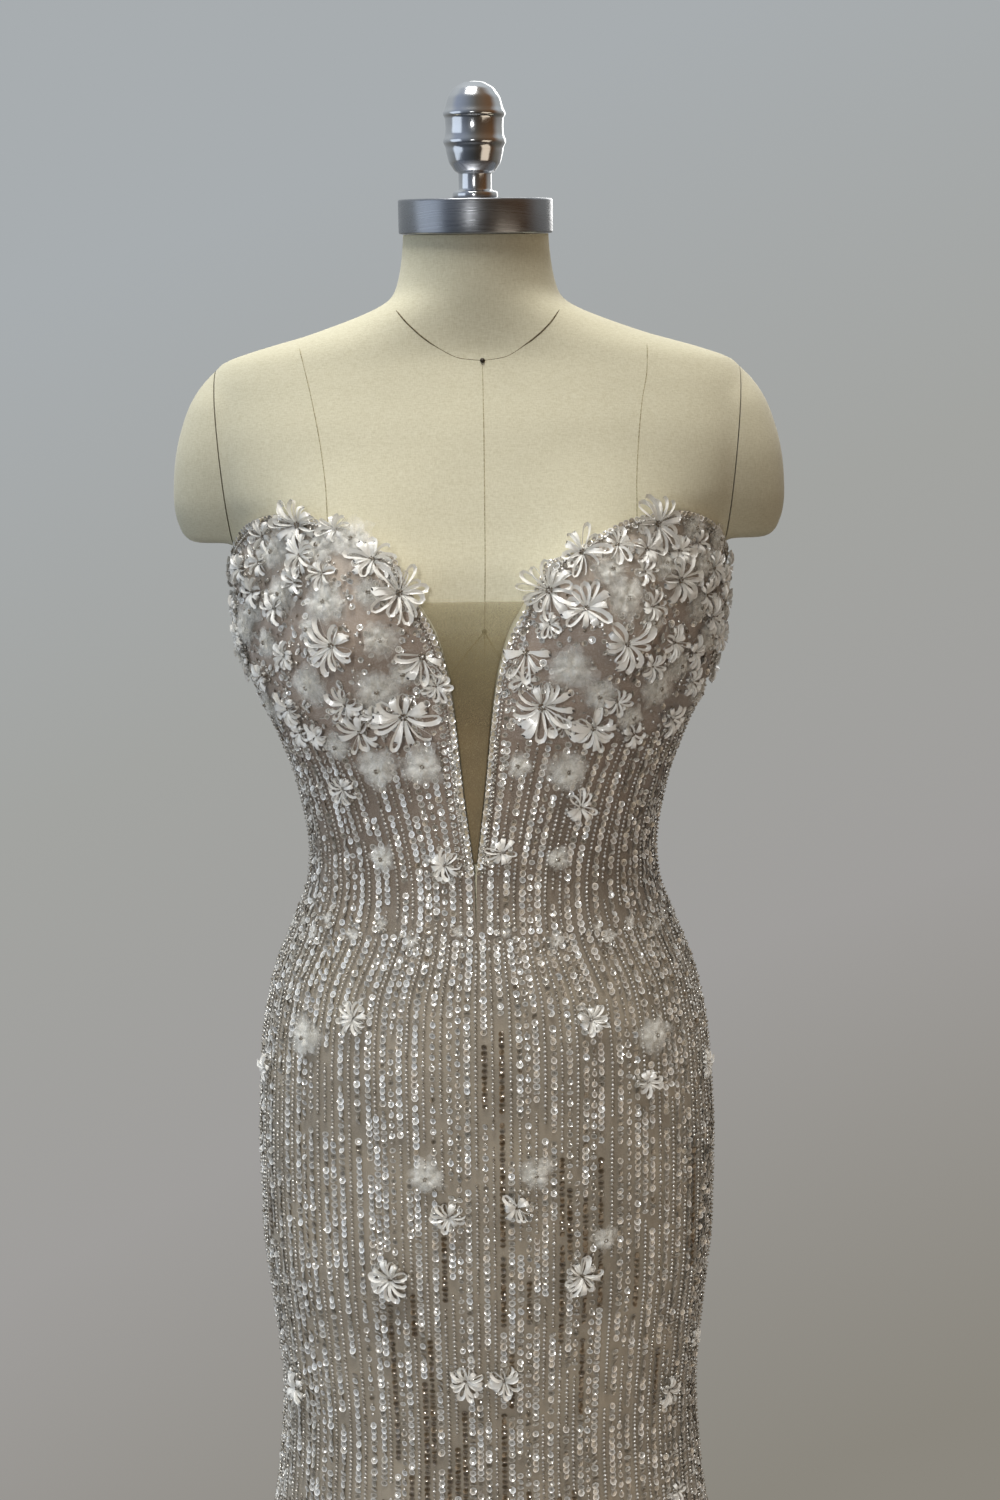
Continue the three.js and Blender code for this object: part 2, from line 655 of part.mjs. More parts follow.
// Neck cap and finial, tilted forward with the neck.
const capOutline = [
  [0, 0],
  [CAP.radius, 0],
  [CAP.radius, CAP.height - CAP.bevel],
  [CAP.radius - CAP.bevel, CAP.height],
  [0, CAP.height],
];
const finialOutline = [
  [0, 0],
  [15.5, 0],
  [15.5, 4.6],
  [11.3, 4.6],
  [11.3, 16.6],
  [13.6, 17.4],
  [17.6, 23],
  [19.4, 30],
  [19.8, 33],
  [21.3, 35.8],
  [21.3, 37.4],
  [19.9, 40.5],
  [19.5, 46],
  [19.9, 51.5],
  [21.1, 53.2],
  [21.1, 54.8],
  [19.6, 57.5],
  [17.6, 64.5],
  [13.4, 70.2],
  [7, 73.7],
  [0, 74.5],
];
const neck = new THREE.Group();
neck.position.set(0, NECK_SEAT.y, NECK_SEAT.z);
neck.rotation.x = NECK_TILT;
group.add(neck);
const cap = add("neck_cap", turned(capOutline, ROUND.cap), materials.steel);
cap.position.z = FIT;
const finial = add("finial", turned(finialOutline, ROUND.finial), materials.chrome);
finial.position.z = 2 * FIT + CAP.height;
neck.add(cap, finial);

// Stand: a pole in a collar on a round weighted base.
const baseOutline = [
  [0, 0],
  [BASE.radius - BASE.edge, 0],
  [BASE.radius, BASE.edge],
  [BASE.radius, BASE.height - BASE.edge],
  [BASE.radius - BASE.edge, BASE.height],
  [0, BASE.height],
];
const bore = POLE_RADIUS + FIT;
const collarOutline = [
  [bore, 0],
  [COLLAR.radius, 0],
  [COLLAR.radius, COLLAR.height - COLLAR.edge],
  [COLLAR.radius - COLLAR.edge, COLLAR.height],
  [bore, COLLAR.height],
  [bore, 0],
];
const seatZ = BASE.height + FIT;
const poleLength = FORM_ROWS[0] - FIT - seatZ;
const poleOutline = [
  [0, 0],
  [POLE_RADIUS, 0],
  [POLE_RADIUS, poleLength],
  [0, poleLength],
];
add("stand_base", turned(baseOutline, ROUND.base), materials.iron);
add("stand_collar", turned(collarOutline, ROUND.pole), materials.iron).position.z = seatZ;
add("stand_pole", turned(poleOutline, ROUND.pole), materials.steel).position.z = seatZ;

export default group;
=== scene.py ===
# %% [markdown]
# A strapless bridal gown on a limbless dress form. The gown is nude tulle, covered in near-vertical
# lines of clear sequins and pearls, with ribbon flowers crowded on its cups. Every number about the
# figure is in millimetres, because a dressmaker measures so, and is turned into metres once, when a
# mesh gets its points.

# %% Setup
import math

import bpy
import numpy as np
from mathutils import Euler, Matrix, Vector


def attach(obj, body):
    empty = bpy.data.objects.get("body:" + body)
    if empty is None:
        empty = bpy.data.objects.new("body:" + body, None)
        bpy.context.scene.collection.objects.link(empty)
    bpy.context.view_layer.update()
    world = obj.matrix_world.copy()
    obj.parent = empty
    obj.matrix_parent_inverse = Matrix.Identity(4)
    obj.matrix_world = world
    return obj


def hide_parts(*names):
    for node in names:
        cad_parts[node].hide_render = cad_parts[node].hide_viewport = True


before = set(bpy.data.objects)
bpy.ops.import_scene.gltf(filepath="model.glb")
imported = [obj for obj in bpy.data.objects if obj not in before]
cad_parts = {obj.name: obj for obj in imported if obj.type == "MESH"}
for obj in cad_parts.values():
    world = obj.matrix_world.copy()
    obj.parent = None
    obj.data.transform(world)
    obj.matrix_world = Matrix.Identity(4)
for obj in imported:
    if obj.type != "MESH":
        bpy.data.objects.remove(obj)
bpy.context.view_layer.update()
bpy.ops.object.select_all(action="DESELECT")

MM = 0.001
BODY = "gown_on_form"
rng = np.random.default_rng(11)

# %% [markdown]
# The camera comes first, because the picture it has to match was taken from a known place: chest
# height, a little over a metre away, tipped down by eight degrees and turned by less than one.

# %% Camera
CAMERA_PLACE = (0.013, -1.150, 1.330)
CAMERA_PITCH = math.radians(8.2138)
CAMERA_ROLL = math.radians(-0.6)
LENS = 38.2

bpy.ops.object.camera_add(location=CAMERA_PLACE)
camera = bpy.context.object
level_view = Euler((math.pi / 2 - CAMERA_PITCH, 0, 0)).to_matrix()
camera.rotation_euler = (level_view @ Matrix.Rotation(CAMERA_ROLL, 3, "Z")).to_euler()
camera.data.lens = LENS
bpy.context.scene.camera = camera
print("camera at", CAMERA_PLACE, "lens", LENS)

# %% [markdown]
# The gown's shape comes from a general figure, given as sections up the body. One smooth curve
# through each column of the table gives any height between them.

# %% The figure
# every row of the figure is one section; the arm has height, reach and half depth
FIGURE_COLUMNS = ["z", "width", "front", "back", "bust", "square", "shift"]
FIGURE = np.array([
    [15, 384, 352, 390, 0, 2, 0], [150, 320, 288, 316, 0, 2, 0],
    [300, 251, 214, 234, 0, 2, 0], [400, 213, 172, 186, 0, 2, 0],
    [500, 182, 138, 146, 0, 2, 0], [571, 165, 120, 124, 0, 2, 0],
    [608, 159.5, 114, 116, 0, 2, 0], [680, 154.5, 110, 108, 0, 2, 0],
    [740, 159, 109, 112, 0, 2, 0], [806, 165.5, 110, 121, 0, 2, 0],
    [870, 166.5, 110, 125, 0, 2, 0], [950, 162, 108, 115, 0, 2, 0],
    [1000, 152.5, 103, 104, 0, 2, 0], [1048, 133.5, 95, 91, 0, 2, 0],
    [1076, 124.5, 91, 86, 0, 2, 0], [1095, 123, 90, 85, 0, 2, 0],
    [1140, 130, 91, 87, 0, 2, 0], [1181, 144, 92, 91, 5, 2, 0],
    [1216, 160, 93, 95, 17, 2, 0], [1255, 170, 95, 98, 27, 2.05, 0],
    [1290, 172, 95, 99, 22, 2.15, 0], [1320, 173, 91, 98, 12, 2.3, 0],
    [1345, 185, 87, 96, 5, 2.5, 0], [1385, 192, 78, 89, 0, 2.5, 0],
    [1420, 192, 66, 76, 0, 2.3, 0], [1440, 182, 60, 66, 0, 2.15, 0],
    [1457, 125, 58, 60, 0, 2, -2], [1470, 86, 57, 57, 0, 2, -4],
    [1481, 61, 56, 55, 0, 2, -6], [1506, 53.5, 53, 53, 0, 2, -10],
    [1526, 51.5, 51.5, 51.5, 0, 2, -13], [1546, 51, 51, 51, 0, 2, -16],
])
ARM = np.array([
    [1316, 205, 34], [1320, 211.5, 39], [1328, 215.5, 43], [1345, 218.5, 48], [1372, 216.6, 51],
    [1407, 207, 47], [1428, 194, 36], [1440, 180, 22], [1446, 168, 10],
])
# degrees round from the centre front and height
TOP_EDGE = [
    (0, 1290), (17, 1306), (24, 1319), (31, 1330), (43, 1335), (60, 1329), (72, 1319), (82, 1311),
    (95, 1307), (140, 1296), (180, 1287),
]
UNDERBUST = [(-5, 1188), (10, 1185), (33, 1179), (60, 1190), (90, 1214)]
# height and half width of the plunge, then height and degrees round of the princess seam
PLUNGE = [
    (1048, 0), (1090, 0.9), (1119, 4), (1148, 7.4), (1174, 10), (1200, 12.7), (1224, 16),
    (1244, 20.5), (1260, 26), (1274, 34), (1290, 43), (1306, 50),
]
PRINCESS = [(15, 31), (870, 29.5), (1000, 31.5), (1048, 28), (1181, 37)]
HEM, WAIST = 15, 1048
BUST_POINT, BUST_SPREAD = 88, 47
FLUTES, FLUTE_DEPTH, FLUTE_TOP, FLUTE_GROWTH = 12, 15, 560, 1.6
DRIFT_SHARE, DRIFT_TURNS, DRIFT_LAG = 0.3, 5, 1
STEP = 0.01
print("figure", len(FIGURE), "sections,", len(ARM), "sections of the arm")

# %% [markdown]
# A place on the gown is an angle round the figure and a height. These functions turn one into a
# point, move it out along the surface's normal, and say how far it is from one point to the next.

# %% Reading the figure
def curve(x, y):
    """A smooth curve through points that never swings past them, read at any array of places."""
    x, y = np.asarray(x, float), np.asarray(y, float)
    slope = np.diff(y) / np.diff(x)
    before, after = slope[:-1], slope[1:]
    total = np.where(before + after == 0, 1, before + after)
    inner = np.where(before * after <= 0, 0, 2 * before * after / total)
    tangent = np.concatenate([slope[:1], inner, slope[-1:]])

    def read(at):
        at = np.clip(at, x[0], x[-1])
        i = np.clip(np.searchsorted(x, at) - 1, 0, len(slope) - 1)
        span = x[i + 1] - x[i]
        t = (at - x[i]) / span
        bend = span * (tangent[i] * t * (1 - t) ** 2 - tangent[i + 1] * t * t * (1 - t))
        return y[i] + (y[i + 1] - y[i]) * t * t * (3 - 2 * t) + bend

    return read


figure = {name: curve(FIGURE[:, 0], FIGURE[:, i]) for i, name in enumerate(FIGURE_COLUMNS) if i}
arm_reach, arm_depth = curve(ARM[:, 0], ARM[:, 1]), curve(ARM[:, 0], ARM[:, 2])
top_edge_read, underbust_read = curve(*zip(*TOP_EDGE)), curve(*zip(*UNDERBUST))
plunge_half, princess_read = curve(*zip(*PLUNGE)), curve(*zip(*PRINCESS))


def top_edge(angle):
    return top_edge_read(np.degrees(angle))


def underbust(angle):
    return underbust_read(np.degrees(angle))


def princess(z):
    return np.radians(princess_read(z))


def power(value, exponent):
    return np.sign(value) * np.abs(value) ** exponent


def skin(angle, z, fullness=1.0):
    """The figure's surface: the angle runs from the centre front, positive towards +X."""
    angle, z = np.broadcast_arrays(np.asarray(angle, float), np.asarray(z, float))
    exponent = 2 / figure["square"](z)
    forward = np.cos(angle)
    depth = np.where(forward > 0, figure["front"](z), figure["back"](z))
    x = figure["width"](z) * power(np.sin(angle), exponent)
    lobe = figure["bust"](z) * np.exp(-(((np.abs(x) - BUST_POINT) / BUST_SPREAD) ** 2))
    y = figure["shift"](z) - depth * power(forward, exponent) - np.where(forward > 0, fullness * lobe, 0)
    fall = np.maximum(0, FLUTE_TOP - z) / FLUTE_TOP
    wave = np.cos(FLUTES * angle) + DRIFT_SHARE * np.cos(DRIFT_TURNS * angle + DRIFT_LAG)
    push = FLUTE_DEPTH * fall**FLUTE_GROWTH * wave
    return np.stack([x + push * np.sin(angle), y - push * forward, z], -1)


def unit(vectors):
    return vectors / np.maximum(np.linalg.norm(vectors, axis=-1, keepdims=True), 1e-9)


def outward(angle, z):
    across = skin(angle + STEP, z) - skin(angle - STEP, z)
    return unit(np.cross(across, skin(angle, z + 1.0) - skin(angle, z - 1.0)))


def off(angle, z, distance, fullness=1.0):
    """A point moved out from the figure along its normal."""
    return skin(angle, z, fullness) + outward(angle, z) * np.asarray(distance)[..., None]


def level(angle, z, distance, fullness=1.0):
    """Like off, but kept at its own height."""
    point = off(angle, z, distance, fullness)
    point[..., 2] = z
    return point


def per_mm(angle, z):
    """The angle that one millimetre of the surface spans."""
    return 2 * STEP / np.linalg.norm(skin(angle + STEP, z) - skin(angle - STEP, z), axis=-1)


def angle_at(x, z):
    return np.arcsin(np.clip(power(x / figure["width"](z), figure["square"](z) / 2), -1, 1))


def length_of(path):
    return float(np.linalg.norm(np.diff(path, axis=0), axis=-1).sum())


def distances(path):
    """How far along the path each of its points lies."""
    return np.concatenate([[0], np.cumsum(np.linalg.norm(np.diff(path, axis=0), axis=1))])


NARROWEST = 1095
waist_round = skin(np.linspace(0, 2 * math.pi, 200), NARROWEST)
print("waist round the figure", round(length_of(waist_round)), "mm")

# %% [markdown]
# Modelling starts from primitives. A grid becomes a panel of cloth once its points are laid on the
# figure, and these few helpers move points, apply modifiers and say what each piece rides on.

# %% Modelling helpers
def points_of(obj):
    flat = np.empty(len(obj.data.vertices) * 3)
    obj.data.vertices.foreach_get("co", flat)
    return flat.reshape(-1, 3)


def move_points(obj, millimetres):
    obj.data.vertices.foreach_set("co", (np.asarray(millimetres) * MM).ravel())
    obj.data.update()


def grid(name, columns, rows):
    """A grid whose points give the shares s and t, from 0 to 1."""
    bpy.ops.mesh.primitive_grid_add(x_subdivisions=columns, y_subdivisions=rows, size=2)
    obj = bpy.context.object
    obj.name = name
    s, t = (points_of(obj)[:, :2].T + 1) / 2
    return obj, s, t


def activate(obj):
    bpy.context.view_layer.objects.active = obj
    obj.select_set(True)


def edit(obj, *steps):
    """Runs mesh operators, each on the whole object."""
    activate(obj)
    bpy.ops.object.mode_set(mode="EDIT")
    for operator, settings in steps:
        bpy.ops.mesh.select_all(action="SELECT")
        operator(**settings)
    bpy.ops.object.mode_set(mode="OBJECT")
    obj.select_set(False)


def apply(obj, kind, **settings):
    bpy.context.view_layer.objects.active = obj
    modifier = obj.modifiers.new(kind.lower(), kind)
    for key, value in settings.items():
        setattr(modifier, key, value)
    bpy.ops.object.modifier_apply(modifier=modifier.name)


def finish_piece(obj, slot, material, *nodes, body=BODY, crisp=None):
    """Materials, shading and body; an edge sharper than crisp degrees stays an edge. The slot is not used."""
    obj.data.materials.clear()
    for each in material if isinstance(material, (list, tuple)) else [material]:
        obj.data.materials.append(each)
    if crisp is None:
        obj.data.shade_smooth()
    else:
        activate(obj)
        bpy.ops.object.shade_smooth_by_angle(angle=math.radians(crisp))
    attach(obj, body)
    if nodes:
        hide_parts(*nodes)
    obj.select_set(False)
    return obj


# %% [markdown]
# Materials are node trees. Two effects turn up in several of them, so they are groups: a fine net,
# which every tulle shows close up, and a soft mottle, because no cloth has one flat colour.

# %% Material helpers
def srgb(*levels):
    shares = [value / 255 for value in levels]
    linear = [v / 12.92 if v <= 0.04045 else ((v + 0.055) / 1.055) ** 2.4 for v in shares]
    return (*linear, 1.0)


def add(tree, kind, inputs=(), **settings):
    """A new node; inputs maps a socket's name or index to a value or to another node's socket."""
    made = tree.nodes.new(kind)
    for key, value in settings.items():
        setattr(made, key, value)
    for key, value in dict(inputs).items():
        if isinstance(value, bpy.types.NodeSocket):
            tree.links.new(value, made.inputs[key])
        else:
            made.inputs[key].default_value = value
    return made


def ramp(tree, source, stops):
    made = add(tree, "ShaderNodeValToRGB", {0: source})
    band = made.color_ramp
    while len(band.elements) < len(stops):
        band.elements.new(1)
    for element, (at, colour) in zip(band.elements, stops):
        element.position = at
        element.color = colour
    return made.outputs[0]


def group(name, inputs, outputs):
    made = bpy.data.node_groups.new(name, "ShaderNodeTree")
    for label, value in inputs.items():
        socket = made.interface.new_socket(label, in_out="INPUT", socket_type="NodeSocketFloat")
        socket.default_value = value
    for label in outputs:
        made.interface.new_socket(label, in_out="OUTPUT", socket_type="NodeSocketFloat")
    return made, made.nodes.new("NodeGroupInput"), made.nodes.new("NodeGroupOutput")


def place(tree):
    return add(tree, "ShaderNodeTexCoord").outputs["Object"]


print("colours are given as levels from 0 to 255; white is", srgb(255, 255, 255))

# %% [markdown]
# Most of the trees use the same few nodes, so each of those has a short name of its own.

# %% Nodes by name
def axis_of(tree, vector, axis):
    return add(tree, "ShaderNodeSeparateXYZ", {0: vector}).outputs[axis]


def noise(tree, where, scale, detail=2.0, **more):
    inputs = {"Vector": where, "Scale": scale, "Detail": detail, **more}
    return add(tree, "ShaderNodeTexNoise", inputs).outputs["Fac"]


def remap(tree, value, low, high, to_low=0.0, to_high=1.0):
    inputs = {0: value, 1: low, 2: high, 3: to_low, 4: to_high}
    return add(tree, "ShaderNodeMapRange", inputs).outputs[0]


def calculate(tree, operation, *values, clamp=False):
    inputs = dict(enumerate(values))
    return add(tree, "ShaderNodeMath", inputs, operation=operation, use_clamp=clamp).outputs[0]


def stretched(tree, vector, scale):
    return add(tree, "ShaderNodeMapping", {0: vector, "Scale": scale}).outputs[0]


def scaled(tree, colour, factor):
    inputs = {0: colour, "Scale": factor}
    return add(tree, "ShaderNodeVectorMath", inputs, operation="SCALE").outputs[0]


def blend(tree, factor, first, second):
    inputs = {"Factor": factor, "A": first, "B": second}
    return add(tree, "ShaderNodeMix", inputs, data_type="RGBA").outputs[2]


def bumped(tree, height, strength, distance):
    inputs = {"Strength": strength, "Distance": distance, "Height": height}
    return add(tree, "ShaderNodeBump", inputs).outputs[0]


def wire(tree, target, **sources):
    for label, source in sources.items():
        tree.links.new(source, target.inputs[label.replace("_", " ")])


# the net's cells are the holes, and their edges are the threads
net, net_in, net_out = group("Net", {"Holes per metre": 900.0}, ["Thread", "Mottle"])
cell_inputs = {"Vector": place(net), "Scale": net_in.outputs[0]}
cells = add(net, "ShaderNodeTexVoronoi", cell_inputs, feature="DISTANCE_TO_EDGE")
thread = remap(net, cells.outputs["Distance"], 0.02, 0.16, 1.0, 0.0)
wire(net, net_out, Thread=thread, Mottle=noise(net, place(net), 38.0, 4.0))
print("net group", [node.bl_label for node in net.nodes])


def new_material(name, **values):
    made = bpy.data.materials.new(name)
    made.use_nodes = True
    shader = made.node_tree.nodes["Principled BSDF"]
    for label, value in values.items():
        shader.inputs[label.replace("_", " ")].default_value = value
    return made, made.node_tree, shader


def tulle_material(name, stops, holes, thread_colour, low, high):
    """Tulle over lining: stops give the lining's colour from the height low to the height high."""
    made, tree, shader = new_material(name, Roughness=0.62, Sheen_Weight=0.35, Sheen_Roughness=0.4)
    height = axis_of(tree, place(tree), "Z")
    lining = ramp(tree, remap(tree, height, low, high), stops)
    mesh = add(tree, "ShaderNodeGroup", node_tree=net)
    mesh.name = "Mesh"
    mesh.inputs[0].default_value = holes
    uneven = remap(tree, mesh.outputs["Mottle"], 0.3, 0.7, 0.84, 1.12)
    patches = remap(tree, noise(tree, place(tree), 16.0), 0.35, 0.65, 0.82, 1.14)
    shaded = scaled(tree, lining, calculate(tree, "MULTIPLY", uneven, patches))
    threads = mesh.outputs["Thread"]
    colour = blend(tree, calculate(tree, "MULTIPLY", threads, 0.45), shaded, thread_colour)
    wire(tree, shader, Base_Color=colour, Normal=bumped(tree, threads, 0.4, 0.0003))
    return made


# %% [markdown]
# Four cloths share one recipe. The gown's lining is greige below and browner towards the waist, the
# cups pale towards their top, and the inset is skin brown with painted shade, darker towards its
# bottom, and clears towards its top.

# %% Cloth materials
GREIGE, BROWN, MAUVE = srgb(148, 137, 119), srgb(106, 91, 75), srgb(138, 118, 104)
BEADED_STOPS = [(0.0, GREIGE), (0.78, GREIGE), (0.84, BROWN), (1.0, MAUVE)]
CUP_STOPS = [(0.0, srgb(110, 93, 78)), (0.5, srgb(152, 134, 118)), (1.0, srgb(184, 172, 156))]
# the inset's skin brown darkens towards its bottom with painted shade, where the bodice edges shade it
MESH_AND_SHADE_STOPS = [
    (0.0, srgb(94, 76, 46)), (0.55, srgb(98, 81, 49)), (0.85, srgb(150, 136, 94)), (1.0, srgb(184, 174, 132)),
]
BINDING_STOPS = [(0.0, srgb(158, 144, 116)), (1.0, srgb(184, 174, 150))]
beaded_tulle = tulle_material("beaded_tulle", BEADED_STOPS, 900.0, srgb(164, 156, 142), 0.0, 1.3)
cup_tulle = tulle_material("cup_tulle", CUP_STOPS, 1000.0, srgb(212, 204, 194), 1.17, 1.34)
nude_mesh = tulle_material("nude_mesh", MESH_AND_SHADE_STOPS, 1300.0, srgb(150, 138, 104), 1.1, 1.28)
binding = tulle_material("binding", BINDING_STOPS, 1500.0, srgb(204, 196, 174), 1.1, 1.34)

# the inset is see-through at its top, and doubled lower down, where its painted shade shows most
sheer = nude_mesh.node_tree
cover = remap(sheer, axis_of(sheer, place(sheer), "Z"), 1.18, 1.26, 0.85, 0.2)
seen = calculate(sheer, "MULTIPLY_ADD", sheer.nodes["Mesh"].outputs["Thread"], 0.3, cover, clamp=True)
wire(sheer, sheer.nodes["Principled BSDF"], Alpha=seen)
print("cloth materials", [made.name for made in (beaded_tulle, cup_tulle, nude_mesh, binding)])

# %% [markdown]
# Cloth on a body is never quite smooth. The main creases are listed one by one, each with its own
# length, width, lean and height: short pulls round the waist, where the skirt is let in, and long
# soft ridges down the legs. The hidden sides have similar ones.

# %% Creases
# degrees round, height, half length, half width, lean in degrees and rise, in millimetres
CREASES = [
    (-20, 1031, 36, 6, 14, 1.0), (24, 1027, 42, 7, -11, 0.9), (-47, 1017, 32, 6, 26, 1.1),
    (50, 1012, 36, 7, -22, 1.0), (2, 1036, 22, 5, 3, 0.6), (-11, 1064, 30, 5, 5, 0.7),
    (14, 1078, 34, 6, -7, 0.7), (-54, 1088, 30, 6, 20, 0.9), (56, 1093, 36, 7, -17, 0.9),
    (-36, 996, 28, 6, 40, 0.8), (37, 990, 30, 7, -36, 0.8), (-72, 1040, 34, 6, 12, 1.0),
    (76, 1036, 30, 6, -14, 1.0), (-22, 600, 90, 11, 84, 1.1), (27, 640, 110, 12, 96, 1.2),
    (-62, 700, 120, 13, 80, 1.2), (66, 690, 130, 12, 99, 1.3), (3, 560, 80, 10, 90, 0.9),
    (104, 1034, 34, 6, 12, 1.0), (-108, 1030, 38, 7, -14, 0.9), (132, 1022, 30, 6, 20, 0.9),
    (-136, 1018, 34, 7, -18, 1.0), (162, 1034, 26, 6, 8, 0.8), (-160, 1030, 30, 6, -10, 0.8),
    (112, 690, 120, 13, 84, 1.2), (-116, 660, 110, 12, 97, 1.1), (152, 640, 120, 13, 94, 1.2),
    (-150, 700, 130, 12, 86, 1.2), (120, 1090, 32, 6, 14, 0.8), (-124, 1084, 30, 6, -16, 0.8),
    (40, 1120, 26, 6, 66, 0.7), (-43, 1128, 28, 6, 112, 0.7),
]


def drape(angle, z):
    """How far the creases lift the cloth, in millimetres."""
    angle, z = np.broadcast_arrays(np.asarray(angle, float), np.asarray(z, float))
    lift = np.zeros(angle.shape)
    for degrees, height, length, width, lean, rise in CREASES:
        turn = (angle - math.radians(degrees) + math.pi) % (2 * math.pi) - math.pi
        across, up = turn * float(figure["width"](height)), z - height
        cosine, sine = math.cos(math.radians(lean)), math.sin(math.radians(lean))
        along, beside = across * cosine + up * sine, up * cosine - across * sine
        lift = lift + rise * np.exp(-((along / length) ** 2) - (beside / width) ** 2)
    return lift


def cloth_level(angle, z, distance):
    return level(angle, z, distance + drape(angle, z))


print(len(CREASES), "creases")


# %% [markdown]
# Each panel is a grid laid between two seams. The seams are the construction's own, so a panel's
# edge lies where its solid's edge lies, and a Solidify modifier gives the wall.

# %% Panels
CLOTH, EASE, SEAM = 1.6, 0.7, 0.03
OUTSIDE = EASE + CLOTH
PLUNGE_SHIFT, PLUNGE_BOTTOM = -4.5, 1090
CUP_CORNER, UNDERBUST_Z = 1306, 1185
SIDE, SKIRT_BACK, BODICE_BACK = math.pi / 2, math.radians(150), math.radians(138)
ZIP_END, ZIP_HALF, ZIP_TOP = 888, 1.6, 1285
SIDES = {"left": 1, "right": -1}


def at(angle):
    return lambda z: np.full(np.shape(z), float(angle))


def mix(a, b, t):
    return a + (b - a) * t


def plunge_edge(sign):
    return lambda z: angle_at(plunge_half(z) + sign * PLUNGE_SHIFT, z)


def zip_edge(z):
    half = np.where(np.asarray(z) > ZIP_END - 1, ZIP_HALF + SEAM, 0)
    return math.pi - half * per_mm(math.pi, z)


def between(start, end, s, start_z, end_z):
    """The angle a share s of the way from one seam to the other."""
    first = start(start_z) + SEAM * per_mm(start(start_z), start_z)
    last = end(end_z) - SEAM * per_mm(end(end_z), end_z)
    return mix(first, last, s)


def gore(start, end):
    def lay(s, t):
        z = mix(HEM, WAIST - SEAM, t)
        return between(start, end, s, z, z), z

    return lay


def bodice(start, end, high):
    def top_of(edge):
        return float(high(edge(high(edge(np.float64(WAIST))))))

    start_top, end_top = top_of(start), top_of(end)

    def lay(s, t):
        angle = between(start, end, s, mix(WAIST, start_top, t), mix(WAIST, end_top, t))
        return angle, mix(WAIST + SEAM, high(angle) - SEAM, t)

    return lay


def cup(sign):
    edge = plunge_edge(sign)
    foot = float(underbust(edge(np.float64(UNDERBUST_Z))))

    def lay(s, t):
        z = mix(foot, CUP_CORNER, t)
        angle = between(edge, at(SIDE), s, z, z)
        return angle, mix(underbust(angle) + SEAM, top_edge(angle), t)

    return lay


print("panels reach", OUTSIDE, "mm out from the figure")

# %% [markdown]
# Every panel is measured as it is laid, and the size of its flat cut is printed.

# %% Laying the panels
RUN = np.linspace(0, 1, 60)
ZERO = 0.0 * RUN
CUT_ACROSS = [(RUN, ZERO + share) for share in (0, 0.5, 1)]
CUT_DOWN = [(ZERO + share, RUN) for share in (0, 0.5, 1)]


def wall(name, lay, sign, columns, rows, outer=OUTSIDE, thickness=CLOTH):
    """A panel, its area and its greatest width and length, in metres."""

    def longest(lines):
        laid = [lay(*line) for line in lines]
        return max(length_of(level(sign * angle, z, outer)) * MM for angle, z in laid)

    obj, s, t = grid(name, columns, rows)
    angle, z = lay(s, t)
    move_points(obj, cloth_level(sign * angle, z, outer))
    if sign < 0:
        obj.data.flip_normals()
    area = sum(face.area for face in obj.data.polygons)
    apply(obj, "SOLIDIFY", thickness=thickness * MM, offset=-1)
    return obj, area, (longest(CUT_ACROSS), longest(CUT_DOWN))


PANELS = [("skirt_centre_front", gore(lambda z: -princess(z), princess), 1, 36, 130)]
for side_name, sign in SIDES.items():
    front_edge = plunge_edge(sign)
    PANELS += [
        (f"skirt_side_front_{side_name}", gore(princess, at(SIDE)), sign, 32, 130),
        (f"skirt_side_back_{side_name}", gore(at(SIDE), at(SKIRT_BACK)), sign, 32, 130),
        (f"skirt_centre_back_{side_name}", gore(at(SKIRT_BACK), zip_edge), sign, 16, 130),
        (f"bodice_front_{side_name}", bodice(front_edge, princess, underbust), sign, 14, 40),
        (f"bodice_side_front_{side_name}", bodice(princess, at(SIDE), underbust), sign, 24, 40),
        (f"bodice_side_back_{side_name}", bodice(at(SIDE), at(BODICE_BACK), top_edge), sign, 18, 50),
        (f"bodice_back_{side_name}", bodice(at(BODICE_BACK), zip_edge, top_edge), sign, 16, 50),
        (f"cup_{side_name}", cup(sign), sign, 44, 34),
    ]
LAYS = {name: lay for name, lay, _, _, _ in PANELS}

for name, lay, sign, columns, rows in PANELS:
    slot, material = ("cup_tulle", cup_tulle) if name.startswith("cup") else ("beaded_tulle", beaded_tulle)
    panel, area, (width, length) = wall(f"cloth_{name}", lay, sign, columns, rows)
    finish_piece(panel, slot, material, name, crisp=50)
    area = min(area, width * length)
    print(name, "cut", round(width, 3), "by", round(length, 3), "m, area", round(area, 4))

# %% [markdown]
# The plunge is filled by a sheer inset, and a narrow cream binding runs up its edges and round the
# top of the gown. The binding is a strip laid on the panels' edges.

# %% Inset and binding
MESH_GAP, MESH_WALL, MESH_BOTTOM, MESH_TOP = 0.7, 1.0, 1099, 1277
# a sheet's area is at least this share of its width times its length
LEAST_FILL = 0.31
BINDING_WIDTH, BINDING_WALL, LAID_ON = 2.6, 1.0, 0.35


def inset(s, t):
    z = mix(MESH_BOTTOM, MESH_TOP, t)
    return angle_at(PLUNGE_SHIFT + (2 * s - 1) * (plunge_half(z) - MESH_GAP), z), z


mesh_piece, area, (width, length) = wall("sheer_inset", inset, 1, 16, 60, EASE + MESH_WALL, MESH_WALL)
finish_piece(mesh_piece, "nude_mesh", nude_mesh, "plunge_mesh")
area = max(area, LEAST_FILL * width * length)


